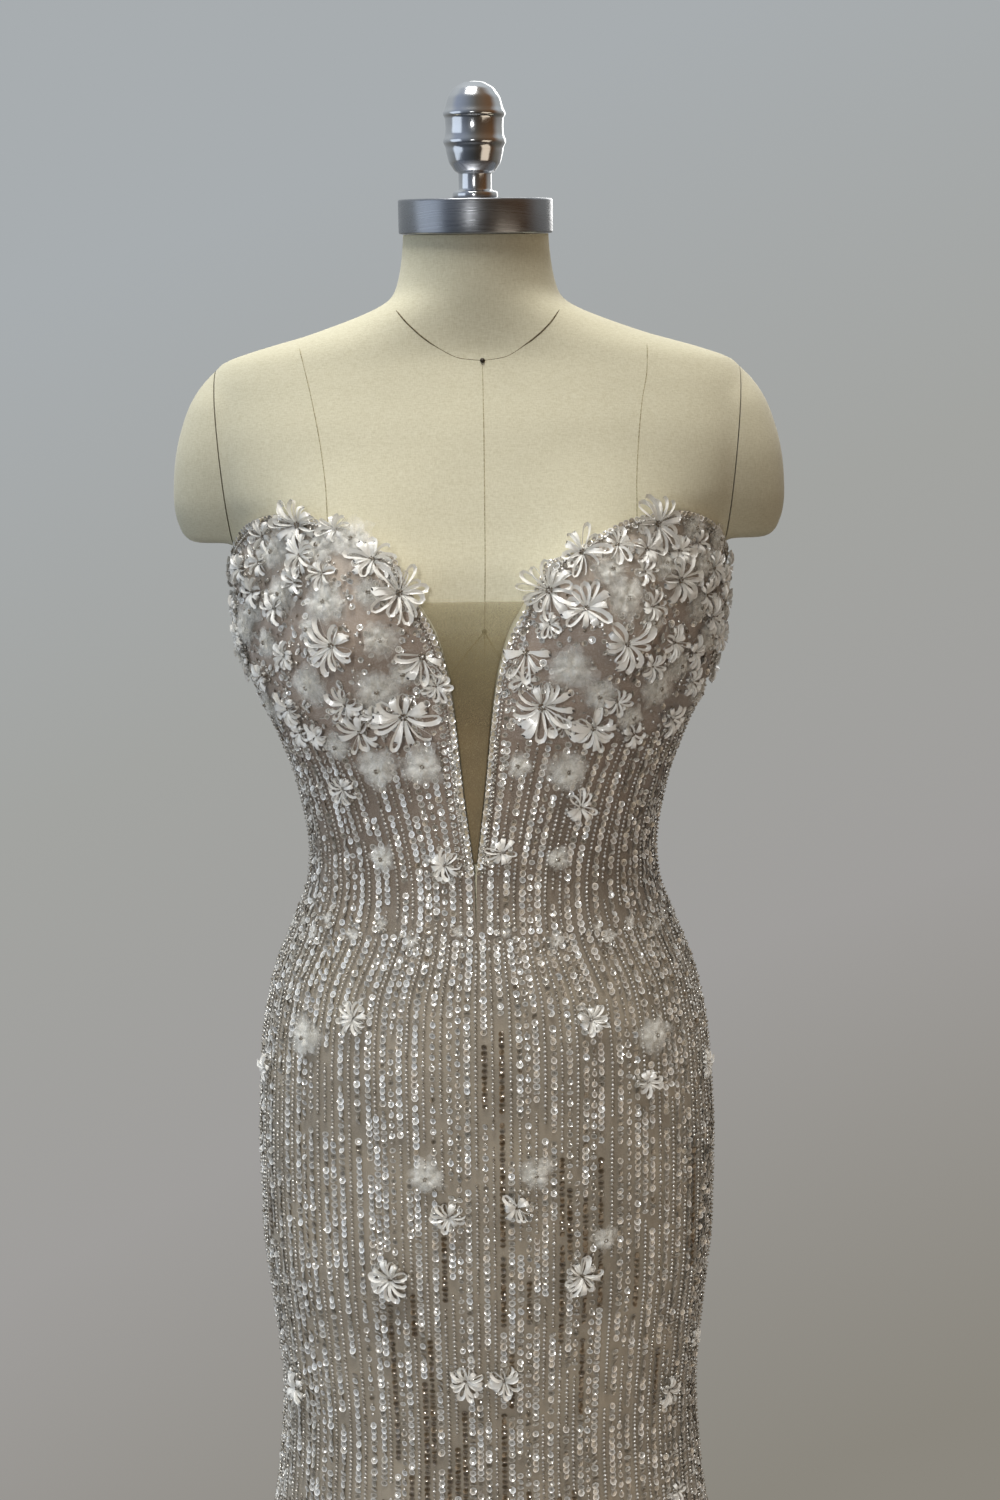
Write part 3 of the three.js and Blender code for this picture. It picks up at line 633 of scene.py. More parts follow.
def binding_path(side_name, sign):
    """Points and normals of the edge, and of a second row a little inside it."""
    inside, start = 0.06, 0.02
    # panel, points, where the run starts, and whether it goes up the plunge or round the top
    runs = [
        ("bodice_front", 40, 0.32, True), ("cup", 40, start, True), ("cup", 80, start, False),
        ("bodice_side_back", 40, start, False), ("bodice_back", 30, start, False),
    ]
    rows = [[], []]
    for panel, count, first, goes_up in runs:
        lay = LAYS[f"{panel}_{side_name}"]
        run = np.linspace(first, 1, count)
        for row, inset_by in zip(rows, (0, inside)):
            s, t = (0 * run + inset_by, run) if goes_up else (run, 0 * run + 1 - inset_by)
            angle, z = lay(s, t)
            row.append(np.stack([cloth_level(sign * angle, z, OUTSIDE), outward(sign * angle, z)], 1))
    return [np.concatenate(row) for row in rows]


for side_name, sign in SIDES.items():
    edge, inner = binding_path(side_name, sign)
    strip, s, t = grid(f"binding_{side_name}", 4, len(edge) - 1)
    index = np.round(t * (len(edge) - 1)).astype(int)
    into = unit(inner[:, 0] - edge[:, 0])
    crown = LAID_ON + BINDING_WALL * (0.75 + 0.25 * np.sin(np.pi * s))
    place_mm = edge[index, 0] + into[index] * (s * BINDING_WIDTH)[:, None] + edge[index, 1] * crown[:, None]
    move_points(strip, place_mm)
    if sign < 0:
        strip.data.flip_normals()
    area = sum(face.area for face in strip.data.polygons)
    apply(strip, "SOLIDIFY", thickness=BINDING_WALL * MM * 0.8, offset=-1)
    finish_piece(strip, "binding", binding, f"edge_binding_{side_name}")
    length = area / (BINDING_WIDTH * MM)
    print("binding", side_name, "length", round(length, 3))

# %% [markdown]
# Sequins and pearls are far too many to place by hand. Each is modelled once, as a primitive with a
# few faces, and then copied in one joined mesh by arrays of places, directions and sizes. A second
# number for every copy, its tone, is kept in the UV map, so one material can make some bright,
# some clear and some dark bronze.

# %% Bead templates
def template(obj):
    """The points and triangles of a small primitive, which is then removed."""
    points = points_of(obj)
    obj.data.calc_loop_triangles()
    flat = np.empty(len(obj.data.loop_triangles) * 3, int)
    obj.data.loop_triangles.foreach_get("vertices", flat)
    bpy.data.objects.remove(obj)
    return points, flat.reshape(-1, 3)


def sequin_template(sides=7, cupping=0.16):
    bpy.ops.mesh.primitive_circle_add(vertices=sides, radius=0.5, fill_type="TRIFAN")
    disc = bpy.context.object
    points = points_of(disc)
    middle = np.linalg.norm(points[:, :2], axis=1) < 0.01
    points[middle, 2] = -cupping
    disc.data.vertices.foreach_set("co", points.ravel())
    return template(disc)


def pearl_template(sides=4):
    bpy.ops.mesh.primitive_cone_add(
        vertices=sides, radius1=0.5, radius2=0, depth=0.5, end_fill_type="TRIFAN", location=(0, 0, 0.25)
    )
    cone = bpy.context.object
    bpy.ops.object.transform_apply(location=True)
    points = points_of(cone)
    foot = (np.linalg.norm(points[:, :2], axis=1) < 0.01) & (points[:, 2] < 0.1)
    points[foot, 2] = -0.5
    cone.data.vertices.foreach_set("co", points.ravel())
    return template(cone)


TEMPLATES = {"sequin": sequin_template(), "pearl": pearl_template()}
MATERIAL_INDEX = {"sequin": 0, "pearl": 1}
print({name: len(faces) for name, (points, faces) in TEMPLATES.items()}, "triangles each")


# %% [markdown]
# A whole panel's beads become one mesh whose arrays are filled at once, because thousands of
# separate objects would be slow to make and slow to draw.

# %% Joined copies
class Beads:
    """Places, directions, sizes and tones of many copies, made into one mesh at the end."""

    def __init__(self):
        self.kinds = {kind: [] for kind in TEMPLATES}

    def add(self, kind, centre, along, normal, size, tone, loose):
        """Copies of one kind; loose is how far each one leans at random."""
        count = len(centre)
        lean = rng.normal(0, 1, (count, 2)) * loose
        side = np.cross(along, normal)
        face = unit(normal + along * lean[:, :1] + side * lean[:, 1:])
        up = unit(along - face * (along * face).sum(1, keepdims=True))
        frames = np.stack([np.cross(up, face), up, face], 1)
        size, tone = np.broadcast_to(size, count), np.broadcast_to(tone, count)
        self.kinds[kind].append((np.asarray(centre), frames, size, tone))

    def build(self, name):
        points, faces, uvs, slots, start = [], [], [], [], 0
        for kind, batches in self.kinds.items():
            shape, triangles = TEMPLATES[kind]
            rim = np.clip(np.linalg.norm(shape[:, :2], axis=1) * 2, 0, 1)
            for centre, frames, size, tone in batches:
                local = shape[None] * size[:, None, None]
                points.append((centre[:, None] + np.einsum("nij,njk->nik", local, frames)).reshape(-1, 3))
                offsets = start + np.arange(len(centre))[:, None, None] * len(shape)
                faces.append((triangles[None] + offsets).reshape(-1, 3))
                uvs.append(np.stack(np.broadcast_arrays(tone[:, None], rim[None]), -1).reshape(-1, 2))
                slots.append(np.full(len(centre) * len(triangles), MATERIAL_INDEX[kind]))
                start += len(centre) * len(shape)
        return joined_mesh(name, *map(np.concatenate, (points, faces, uvs, slots)))


class Joined:
    """Points, faces and UVs of many small pieces, made into one mesh at the end."""

    def __init__(self):
        self.points, self.faces, self.uvs, self.count = [], [], [], 0

    def keep(self, points, faces, uvs):
        self.points.append(points)
        self.faces.append(faces + self.count)
        self.uvs.append(uvs)
        self.count += len(points)

    def build(self, name):
        return joined_mesh(name, *map(np.concatenate, (self.points, self.faces, self.uvs)))


def joined_mesh(name, millimetres, faces, uvs, slots=None):
    mesh = bpy.data.meshes.new(name)
    mesh.vertices.add(len(millimetres))
    mesh.vertices.foreach_set("co", (millimetres * MM).ravel())
    mesh.loops.add(faces.size)
    mesh.loops.foreach_set("vertex_index", faces.ravel().astype(np.int32))
    mesh.polygons.add(len(faces))
    mesh.polygons.foreach_set("loop_start", np.arange(0, faces.size, faces.shape[1], dtype=np.int32))
    if slots is not None:
        mesh.polygons.foreach_set("material_index", slots.astype(np.int32))
    mesh.update(calc_edges=True)
    layer = mesh.uv_layers.new(name="bead")
    layer.data.foreach_set("uv", uvs[faces.ravel()].ravel())
    obj = bpy.data.objects.new(name, mesh)
    bpy.context.scene.collection.objects.link(obj)
    return obj


# %% [markdown]
# A clear sequin shows as a bright cupped rim round a dull middle, where the lining shows through its
# hole. The rim share in the UV map draws that: the dull middle is the hole, and the bright bands
# towards the rim are painted highlights. The tone picks clear, silvery or bronze.

# %% Bead materials
def uv_of(tree):
    return add(tree, "ShaderNodeUVMap", uv_map="bead").outputs[0]


def bead_material(name, stops, rings, **values):
    """Stops colour the bead by its tone, and rings darken its middle, where the hole is, and paint highlights
    towards its rim.
    """
    made, tree, shader = new_material(name, **values)
    uv = uv_of(tree)
    inputs = {0: ramp(tree, axis_of(tree, uv, "X"), stops), 1: ramp(tree, axis_of(tree, uv, "Y"), rings)}
    shaded = add(tree, "ShaderNodeVectorMath", inputs, operation="MULTIPLY").outputs[0]
    wire(tree, shader, Base_Color=shaded)
    return made


TONES = [
    (0.0, srgb(104, 88, 68)),
    (0.14, srgb(142, 126, 104)),
    (0.22, srgb(152, 142, 126)),
    (0.5, srgb(198, 192, 180)),
    (0.75, srgb(236, 232, 224)),
    (1.0, srgb(255, 254, 250)),
]
# the dull middle is the hole; the bright bands towards the rim are painted highlights
RIM_HIGHLIGHT_RINGS = [
    (0.26, srgb(150, 147, 140)), (0.36, srgb(236, 234, 230)),
    (0.58, srgb(166, 162, 153)), (0.9, srgb(255, 255, 255)),
]
PLAIN = [(0.0, srgb(236, 236, 236)), (1.0, srgb(255, 255, 255))]
SHINE = ["Roughness", "Metallic", "Specular_IOR_Level", "Coat_Weight", "Coat_Roughness"]
SEQUIN_SHINE = dict(zip(SHINE, (0.18, 0.25, 0.8, 0.6, 0.08)))
PEARL_SHINE = dict(zip(SHINE, (0.24, 0.1, 0.7, 0.5, 0.1)))
BEAD_FINISHES = [
    bead_material("clear_sequin", TONES, RIM_HIGHLIGHT_RINGS, **SEQUIN_SHINE),
    bead_material("pearl_bead", TONES, PLAIN, **PEARL_SHINE),
]
print("beads", [made.name for made in BEAD_FINISHES])

# %% [markdown]
# The lines of beading run down the panels from edge to edge, so they fan in to the waist and out
# over the hips. Each line has a main style, changes it now and then, and leaves small gaps.

# %% Beaded lines
# kind, size and pitch of each bead in a style
STYLES = {
    "rings": [("sequin", 5.0, 4.4)],
    "pearls": [("pearl", 2.8, 3.1)],
    "seeds": [("pearl", 2.1, 2.6), ("pearl", 2.1, 2.6), ("pearl", 3.1, 3.6)],
    "spaced": [("sequin", 4.4, 4.6), ("pearl", 2.2, 2.8)],
    "bronze": [("sequin", 4.5, 4.1)],
}
ORDER = ["rings", "pearls", "rings", "spaced", "rings", "pearls", "rings", "seeds"]
LINE_GAP, BARE_SEAM = 5.7, 3.8
# below the knee the beads stand further apart
SPARSE_BELOW, SPARSE_PITCH = 540, 1.45
CLEAR_TONE, TONE_SPREAD, CLEAR_TONES = 0.7, 0.2, (0.24, 0.95)
# about a quarter of the beads get a near-white tone: partly white beads, partly a painted glint
BRIGHT_AND_GLINT_SHARE, BRIGHT_AND_GLINT_TONES, BRONZE_TONES = 0.24, (0.9, 1), (0.04, 0.2)
BRONZE_RUN, STYLE_RUN, GAPS = (26, 100), (30, 150), [0, 0, 3, 6, 10]
MAIN_UNTIL = 0.72
MANY_BRONZE, FEW_BRONZE = 0.22, 0.025
SWAY, SWAYS, SWAY_LAG = 0.0015, 9, 40
DOWN = np.linspace(1, 0, 500)


def sequence(length, main, bronze):
    """Kinds, sizes, tones and distances down a line; bronze is the chance of a dark run."""
    rows, at_mm = [], rng.uniform(0, 4)
    style, left, gloom = main, rng.uniform(30, 160), rng.uniform(-0.1, 0.1)
    while at_mm < length - 2:
        if left <= 0:
            change = rng.random()
            if change < bronze:
                style = "bronze"
            else:
                style = main if change < MAIN_UNTIL else ORDER[rng.integers(len(ORDER))]
            left = rng.uniform(*(BRONZE_RUN if style == "bronze" else STYLE_RUN))
            at_mm += rng.choice(GAPS)
        for kind, size, pitch in STYLES[style]:
            if style == "bronze":
                tone = rng.uniform(*BRONZE_TONES)
            else:
                tone = np.clip(rng.normal(CLEAR_TONE + gloom, TONE_SPREAD), *CLEAR_TONES)
                # a near-white tone, partly a painted glint
                if rng.random() < BRIGHT_AND_GLINT_SHARE:
                    tone = rng.uniform(*BRIGHT_AND_GLINT_TONES)
            rows.append((kind == "sequin", size * rng.uniform(0.92, 1.08), tone, at_mm))
            at_mm += pitch
            left -= pitch
    return np.array(rows) if rows else np.zeros((0, 4))


print({style: len(beads) for style, beads in STYLES.items()}, "beads in a repeat")

# %% [markdown]
# A line is laid from the top down. It sways a little, and every bead leans by itself, because no
# thread pulls quite straight.

# %% Laying the lines
def swayed(s, t):
    return s + SWAY * np.sin(SWAYS * t + SWAY_LAG * s)


def strand(beads, lay, sign, s, main, top=1.0, bronze=0.0):
    """One line of beads at the share s of a panel, from its share top down to the hem."""
    t = top * DOWN
    angle, z = lay(swayed(s, t), t)
    run = distances(cloth_level(sign * angle, z, OUTSIDE))
    rows = sequence(run[-1], main, bronze)
    if not len(rows):
        return
    sparse = np.interp(rows[:, 3], run, z) < SPARSE_BELOW
    distance = np.cumsum(np.diff(rows[:, 3], prepend=0) * np.where(sparse, SPARSE_PITCH, 1))
    fits = distance < run[-1] - 1.5
    rows, t = rows[fits], np.interp(distance[fits], run, t)
    s = swayed(s, t)
    angle, z = lay(s, t)
    normal = outward(sign * angle, z)
    ahead = lay(s, np.minimum(t + 0.002, 1))
    along = unit(skin(sign * ahead[0], ahead[1]) - skin(sign * angle, z) + np.array([0, 0, 1e-6]))
    base = cloth_level(sign * angle, z, OUTSIDE)
    is_sequin = rows[:, 0] > 0.5
    for kind, chosen, loose in (("sequin", is_sequin, 0.3), ("pearl", ~is_sequin, 0.2)):
        size = rows[chosen, 1]
        lift = 0.9 + (0.2 + 0 * size if kind == "sequin" else size * 0.42 - 0.4)
        centre = base[chosen] + normal[chosen] * lift[:, None]
        beads.add(kind, centre, along[chosen], normal[chosen], size, rows[chosen, 2], loose)


def line_shares(lay, sign, t_wide):
    """The shares at which the lines start, evenly spread where the panel is wide."""
    angle, z = lay(np.linspace(0, 1, 30), np.full(30, t_wide))
    width = length_of(skin(sign * angle, z))
    inner = width - 2 * BARE_SEAM
    count = max(2, round(inner / LINE_GAP) + 1)
    return BARE_SEAM / width + np.linspace(0, 1, count) * inner / width


bead_total = 0
for name, lay, sign, _, _ in PANELS:
    if name.startswith("cup"):
        continue
    beads = Beads()
    skirt = name.startswith("skirt")
    shares = line_shares(lay, sign, 0.85 if skirt else 0.55)
    bronze = MANY_BRONZE if "centre_front" in name else FEW_BRONZE
    for number, s in enumerate(shares):
        strand(beads, lay, sign, s, ORDER[(number * 3 + len(name)) % len(ORDER)], bronze=bronze)
    if skirt:
        # half lines start where the flare opens
        for number, s in enumerate((shares[1:] + shares[:-1]) / 2):
            top = mix(0.34, 0.5, rng.random())
            strand(beads, lay, sign, s, ORDER[(number + 2) % len(ORDER)], top=top)
    piece = beads.build(f"beads_{name}")
    finish_piece(piece, "beaded_tulle", BEAD_FINISHES)
    bead_total += len(piece.data.polygons)
    print(piece.name, len(shares), "lines", len(piece.data.polygons), "triangles")

# %% [markdown]
# The cups have no lines. Sequins, pearls and small crystals are scattered over them instead, and
# a row of each follows the plunge and the top edge just inside the binding.

# %% Scattered beading
def scatter(beads, lay, sign, count, kind, sizes, tones):
    s, t = rng.uniform(0.02, 0.98, count), rng.uniform(0.03, 0.97, count)
    angle, z = lay(s, t)
    normal = outward(sign * angle, z)
    size = rng.uniform(*sizes, count)
    centre = cloth_level(sign * angle, z, OUTSIDE) + normal * (0.4 + 0.25 * size)[:, None]
    spin = unit(np.cross(normal, rng.normal(0, 1, (count, 3))))
    beads.add(kind, centre, spin, normal, size, rng.uniform(*tones, count), 0.4)


def edge_row(beads, path, kind, size, pitch, inward_mm, rise):
    """A row of beads that follows the binding, inward_mm inside the edge."""
    edge, inner = path
    line = edge[:, 0] + unit(inner[:, 0] - edge[:, 0]) * inward_mm + edge[:, 1] * (LAID_ON + rise)
    run = distances(line)
    stops = np.arange(1, run[-1], pitch)
    centre = np.stack([np.interp(stops, run, line[:, i]) for i in range(3)], 1)
    normal = unit(np.stack([np.interp(stops, run, edge[:, 1, i]) for i in range(3)], 1))
    along = unit(np.gradient(centre, axis=0))
    tones = np.clip(rng.normal(0.75, 0.2, len(stops)), 0.3, 1)
    beads.add(kind, centre, along, normal, np.full(len(stops), size), tones, 0.2)


# count, kind, sizes and tones
SCATTERED = [
    (260, "sequin", (3.6, 5.0), (0.5, 0.95)), (120, "sequin", (4.2, 5.8), (0.9, 1.0)),
    (300, "pearl", (1.8, 3.4), (0.6, 1.0)), (60, "pearl", (1.8, 2.8), (0.08, 0.2)),
]
# kind, size, pitch, distance inside the edge and rise
EDGE_ROWS = [("sequin", 4.4, 4.2, 1.7, 1.4), ("pearl", 2.6, 2.8, 5.4, 1.0), ("sequin", 4.2, 5.6, 9.2, 0.8)]
for side_name, sign in SIDES.items():
    beads = Beads()
    for count, *rest in SCATTERED:
        scatter(beads, cup(sign), sign, count, *rest)
    for row in EDGE_ROWS:
        edge_row(beads, binding_path(side_name, sign), *row)
    piece = beads.build(f"beads_cup_{side_name}")
    finish_piece(piece, "cup_tulle", BEAD_FINISHES)
    bead_total += len(piece.data.polygons)
print("beading in all", bead_total, "triangles")

# %% [markdown]
# A ribbon flower is six to sixteen loops of narrow satin ribbon, caught in the middle under a
# cluster of beads. One loop is a strip that runs out, turns and comes back. Its width stands up
# from the cloth and leans out by its own angle, so some loops show their edge as an open ring. The
# others are pressed flat, and show a broad shining band.

# %% Ribbon flowers
LOOP_STEPS = 12
PRESSED_SHARE, RIBBON_WIDTH, SCATTER = 0.34, (2.8, 4.0), 0.12
DARK_TONES, LIGHT_TONE = (0.1, 0.24), 0.95


def strip_template():
    strip, s, t = grid("strip", LOOP_STEPS, 1)
    faces = np.array([list(face.vertices) for face in strip.data.polygons])
    bpy.data.objects.remove(strip)
    return s, t, faces


STRIP_S, STRIP_T, STRIP_FACES = strip_template()


def frame_at(angle, z, distance):
    """A place on the cloth, and its directions across, up and out."""
    point = off(np.float64(angle), np.float64(z), distance + drape(angle, z))
    normal = outward(np.float64(angle), np.float64(z))
    across = unit(skin(angle + STEP, z) - skin(angle - STEP, z))
    return point, np.stack([across, np.cross(normal, across), normal])


def ribbon_loop(reach, breadth, width, lean, lift):
    """Points of one loop in its own frame: out along x, sideways along y, up along z."""
    turn = mix(0.12 * math.pi, 1.88 * math.pi, STRIP_S)
    share = 0.5 - 0.5 * np.cos(turn)
    x = reach * (0.08 + 0.92 * share)
    y = breadth * np.sin(turn) * (0.3 + 0.7 * share)
    z = lift + reach * 0.2 * np.sin(math.pi * share) + 0.12 * reach * share
    out = unit(np.stack([np.cos(turn) * -0.4, np.sin(turn), 0 * turn], 1))
    tall = np.array([0, 0, 1])[None] * math.cos(lean) + out * math.sin(lean)
    return np.stack([x, y, z], 1) + tall * (STRIP_T * width * (0.5 + 0.5 * share))[:, None]


def pressed_loop(reach, breadth, width, lean, lift):
    """A loop pressed flat: the strip runs out, folds over its tip and comes back on top."""
    share = 1 - np.abs(2 * STRIP_S - 1)
    over = np.where(STRIP_S > 0.5, 1.0, 0.0)
    x = reach * (0.06 + 0.94 * share**0.8)
    spread = width * (0.4 + 0.6 * np.clip(share * 2.4, 0, 1))
    y = (STRIP_T - 0.5) * spread + breadth * (over - 0.5) * share
    z = lift + reach * 0.25 * np.sin(0.8 * math.pi * share) + over * (0.5 + 1.2 * share * (1 - share) * 2)
    return np.stack([x, y, z + (STRIP_T - 0.5) * spread * math.tan(lean)], 1)


print("a loop has", len(STRIP_FACES), "faces")

# %% [markdown]
# A flower turns its loops round one point, with small random differences in every loop. A few
# crystals lie round it, and those that would hang over an edge are left off.

# %% Flowers
def on_gown(places):
    """Which points lie on the cloth, clear of the top edge and of the plunge."""
    x, y, z = places.T
    angle = np.where(y < 0, angle_at(x, z), math.pi / 2)
    open_front = (y < 0) & (z > PLUNGE_BOTTOM) & (np.abs(x - PLUNGE_SHIFT) < plunge_half(z) + 2)
    return (z < top_edge(np.abs(angle)) - 2) & ~open_front


class Flowers(Joined):
    """Ribbon loops joined in one mesh, and their beads in another."""

    def __init__(self):
        super().__init__()
        self.beads = Beads()

    def loop(self, origin, axes, heading, shape_of, **shape):
        cosine, sine = math.cos(heading), math.sin(heading)
        spin = np.array([[cosine, sine, 0], [-sine, cosine, 0], [0, 0, 1]])
        self.keep(origin + shape_of(**shape) @ spin @ axes, STRIP_FACES, np.stack([STRIP_S, STRIP_T], 1))

    def flower(self, angle, z, radius, loops=10, sweep=360.0, toward=0.0):
        origin, axes = frame_at(angle, z, OUTSIDE + 0.4)
        tip = np.array([rng.normal(0, SCATTER), rng.normal(0, SCATTER), 1.0])
        axes = np.stack([unit(axes[0]), axes[1], unit(tip @ axes)])
        for i in range(loops):
            heading = math.radians(toward + sweep * ((i + 0.5) / loops - 0.5)) + rng.normal(0, SCATTER)
            pressed = rng.random() < PRESSED_SHARE
            shape = {
                "reach": radius * rng.uniform(0.72, 1.12),
                "breadth": radius * rng.uniform(0.09, 0.17),
                "width": rng.uniform(*RIBBON_WIDTH) * min(1, 0.3 + radius / 22),
                "lean": math.radians(rng.uniform(-25, 25) if pressed else rng.uniform(12, 60)),
                "lift": rng.uniform(0.5, 2.2),
            }
            self.loop(origin, axes, heading, pressed_loop if pressed else ribbon_loop, **shape)
        self.cluster(origin + axes[2] * radius * 0.16, axes, max(1.5, radius * 0.1))
        self.crystals(origin, axes, radius)

    def cluster(self, origin, axes, reach):
        """Seven pearls that hide the flower's middle, all but one of them dark."""
        ring = np.linspace(0, 2 * math.pi, 7)[:-1] + rng.uniform(0, 1)
        flat = np.stack([np.cos(ring), np.sin(ring), 0.3 + 0 * ring], 1) * reach
        flat = np.concatenate([flat, [[0, 0, reach * 0.9]]])
        count = len(flat)
        tones = rng.uniform(*DARK_TONES, count)
        tones[rng.integers(count)] = LIGHT_TONE
        up, out = (np.tile(axis, (count, 1)) for axis in axes[1:])
        sizes = reach * rng.uniform(0.9, 1.3, count)
        self.beads.add("pearl", origin + flat @ axes, up, out, sizes, tones, 0.3)

    def crystals(self, origin, axes, radius):
        """Loose crystals and sequins sewn round a flower."""
        count = int(rng.integers(4, 9))
        heading, reach = rng.uniform(0, 2 * math.pi, count), radius * rng.uniform(0.75, 1.25, count)
        flat = np.stack([np.cos(heading) * reach, np.sin(heading) * reach, rng.uniform(0.6, 1.8, count)], 1)
        places = origin + flat @ axes
        places = places[on_gown(places)]
        for kind, chosen in (("pearl", places[::2]), ("sequin", places[1::2])):
            count = len(chosen)
            up, out = (np.tile(axis, (count, 1)) for axis in axes[1:])
            sizes, tones = rng.uniform(2.2, 4.4, count), rng.uniform(0.5, 1.0, count)
            self.beads.add(kind, chosen, up, out, sizes, tones, 0.3)

    def finish(self, name, *nodes):
        ribbons = finish_piece(self.build(name), "satin_ribbon", satin, *nodes)
        finish_piece(self.beads.build(f"{name}_beads"), "satin_ribbon", BEAD_FINISHES)
        return ribbons


satin, ribbon_tree, ribbon_shader = new_material(
    "satin_ribbon", Roughness=0.26, Sheen_Weight=0.3, Coat_Weight=0.5, Coat_Roughness=0.14, Alpha=0.86
)
# the light streaks along the ribbon are painted sheen in its colour; the same streaks make its bump
sheen_streaks = noise(ribbon_tree, stretched(ribbon_tree, uv_of(ribbon_tree), (2, 14, 1)), 3.0, 3.0)
SATIN_SHEEN_STOPS = [(0.3, srgb(218, 214, 204)), (0.5, srgb(240, 238, 231)), (0.75, srgb(254, 254, 251))]
satin_bump = bumped(ribbon_tree, sheen_streaks, 0.25, 0.0002)
wire(ribbon_tree, ribbon_shader, Base_Color=ramp(ribbon_tree, sheen_streaks, SATIN_SHEEN_STOPS), Normal=satin_bump)
print("ribbon is", satin.name)

# %% [markdown]
# Between the ribbon flowers sit puffs of frayed organza: a few crumpled rounds with a halo of loose
# threads. The rounds are see-through towards their torn rims, so a puff looks like a small cloud.

# %% Organza puffs
RUFFLE_TURNS, RUFFLE_RINGS = 26, 5
# radius and height of each round, as shares of the puff's radius
ROUNDS = [(1.08, 0.12), (0.96, 0.22), (0.82, 0.32), (0.64, 0.42), (0.44, 0.52)]
THREADS, THREAD_HALF = 26, 0.07


class Puffs(Joined):
    """Crumpled rounds of organza and their loose threads, joined in one mesh."""

    def ruffle(self, origin, axes, radius, height):
        turn = np.linspace(0, 2 * math.pi, RUFFLE_TURNS, endpoint=False)
        share = np.linspace(0.08, 1, RUFFLE_RINGS + 1)
        turn, share = np.meshgrid(turn, share)
        lag = rng.uniform(0, 6.28, 3)
        waves = np.sin(3 * turn + lag[0]) + 0.9 * np.sin(5 * turn + lag[1]) + 0.5 * np.sin(8 * turn + lag[2])
        ragged = 1 + 0.14 * np.sin(3 * turn + lag[1]) + 0.1 * np.sin(7 * turn + lag[0])
        reach = radius * share * (ragged + rng.normal(0, 0.05, turn.shape))
        dome = height * (0.45 + 0.9 * share * (1.3 - share))
        z = dome + radius * 0.1 * waves * share + rng.normal(0, radius * 0.022, turn.shape)
        local = np.stack([reach * np.cos(turn), reach * np.sin(turn), np.maximum(z, 0.3)], -1).reshape(-1, 3)
        row, column = np.meshgrid(np.arange(RUFFLE_RINGS), np.arange(RUFFLE_TURNS), indexing="ij")
        a = row * RUFFLE_TURNS + column
        b = row * RUFFLE_TURNS + (column + 1) % RUFFLE_TURNS
        faces = np.stack([a, b, b + RUFFLE_TURNS, a + RUFFLE_TURNS], -1).reshape(-1, 4)
        uv = np.stack([turn / 6.28, share], -1).reshape(-1, 2)
        self.keep(origin + local @ axes, faces, uv)

    def threads(self, origin, axes, radius, count):
        heading = rng.uniform(0, 2 * math.pi, count)
        rise = rng.uniform(0.05, 0.7, count)
        reach = radius * rng.uniform(0.6, 1.25, count)
        out = np.stack([np.cos(heading), np.sin(heading), rise], 1)
        side = np.stack([-np.sin(heading), np.cos(heading), 0 * rise], 1) * THREAD_HALF
        bow = rng.normal(0, 0.35, (count, 1)) * side / THREAD_HALF
        start = out * (radius * 0.3)
        middle = out * (reach * 0.65)[:, None] + bow * radius
        end = out * reach[:, None] + bow * radius * 1.6
        tip = side * 0.4
        local = np.stack([start - side, start + side, middle + side, middle - side, end + tip, end - tip], 1)
        base = np.arange(count)[:, None] * 6
        faces = np.concatenate([base + [0, 1, 2, 3], base + [3, 2, 4, 5]])
        uv = np.tile([[0, 0.2], [0.1, 0.2], [0.1, 0.4], [0, 0.4], [0.1, 0.5], [0, 0.5]], (count, 1))
        self.keep(origin + local.reshape(-1, 3) @ axes, faces, uv)

    def puff(self, angle, z, radius, flowers=None):
        """One puff, with a small cluster of pearls when it has flowers to keep them."""
        origin, axes = frame_at(angle, z, OUTSIDE + 0.3)
        for share, height in ROUNDS:
            nudge = (axes[0] * rng.normal(0, 0.1) + axes[1] * rng.normal(0, 0.1)) * radius
            self.ruffle(origin + nudge, axes, radius * share, radius * height)
        self.threads(origin, axes, radius, THREADS)
        if flowers:
            flowers.cluster(origin + axes[2] * radius * 0.45, axes, 1.2)


organza, puff_tree, puff_shader = new_material(
    "organza", Roughness=0.55, Sheen_Weight=0.5, Sheen_Roughness=0.3
)
fuzz = noise(puff_tree, place(puff_tree), 180.0, 8.0, Roughness=0.62)
thin = remap(puff_tree, axis_of(puff_tree, uv_of(puff_tree), "Y"), 0.2, 0.98, 0.6, 0.08)
alpha = calculate(puff_tree, "ADD", thin, remap(puff_tree, fuzz, 0.3, 0.7, -0.1, 0.2), clamp=True)
fray = ramp(puff_tree, fuzz, [(0.3, srgb(214, 211, 200)), (0.7, srgb(244, 242, 235))])
wire(puff_tree, puff_shader, Alpha=alpha, Base_Color=fray)
print("a puff has", len(ROUNDS), "rounds and", THREADS, "threads")
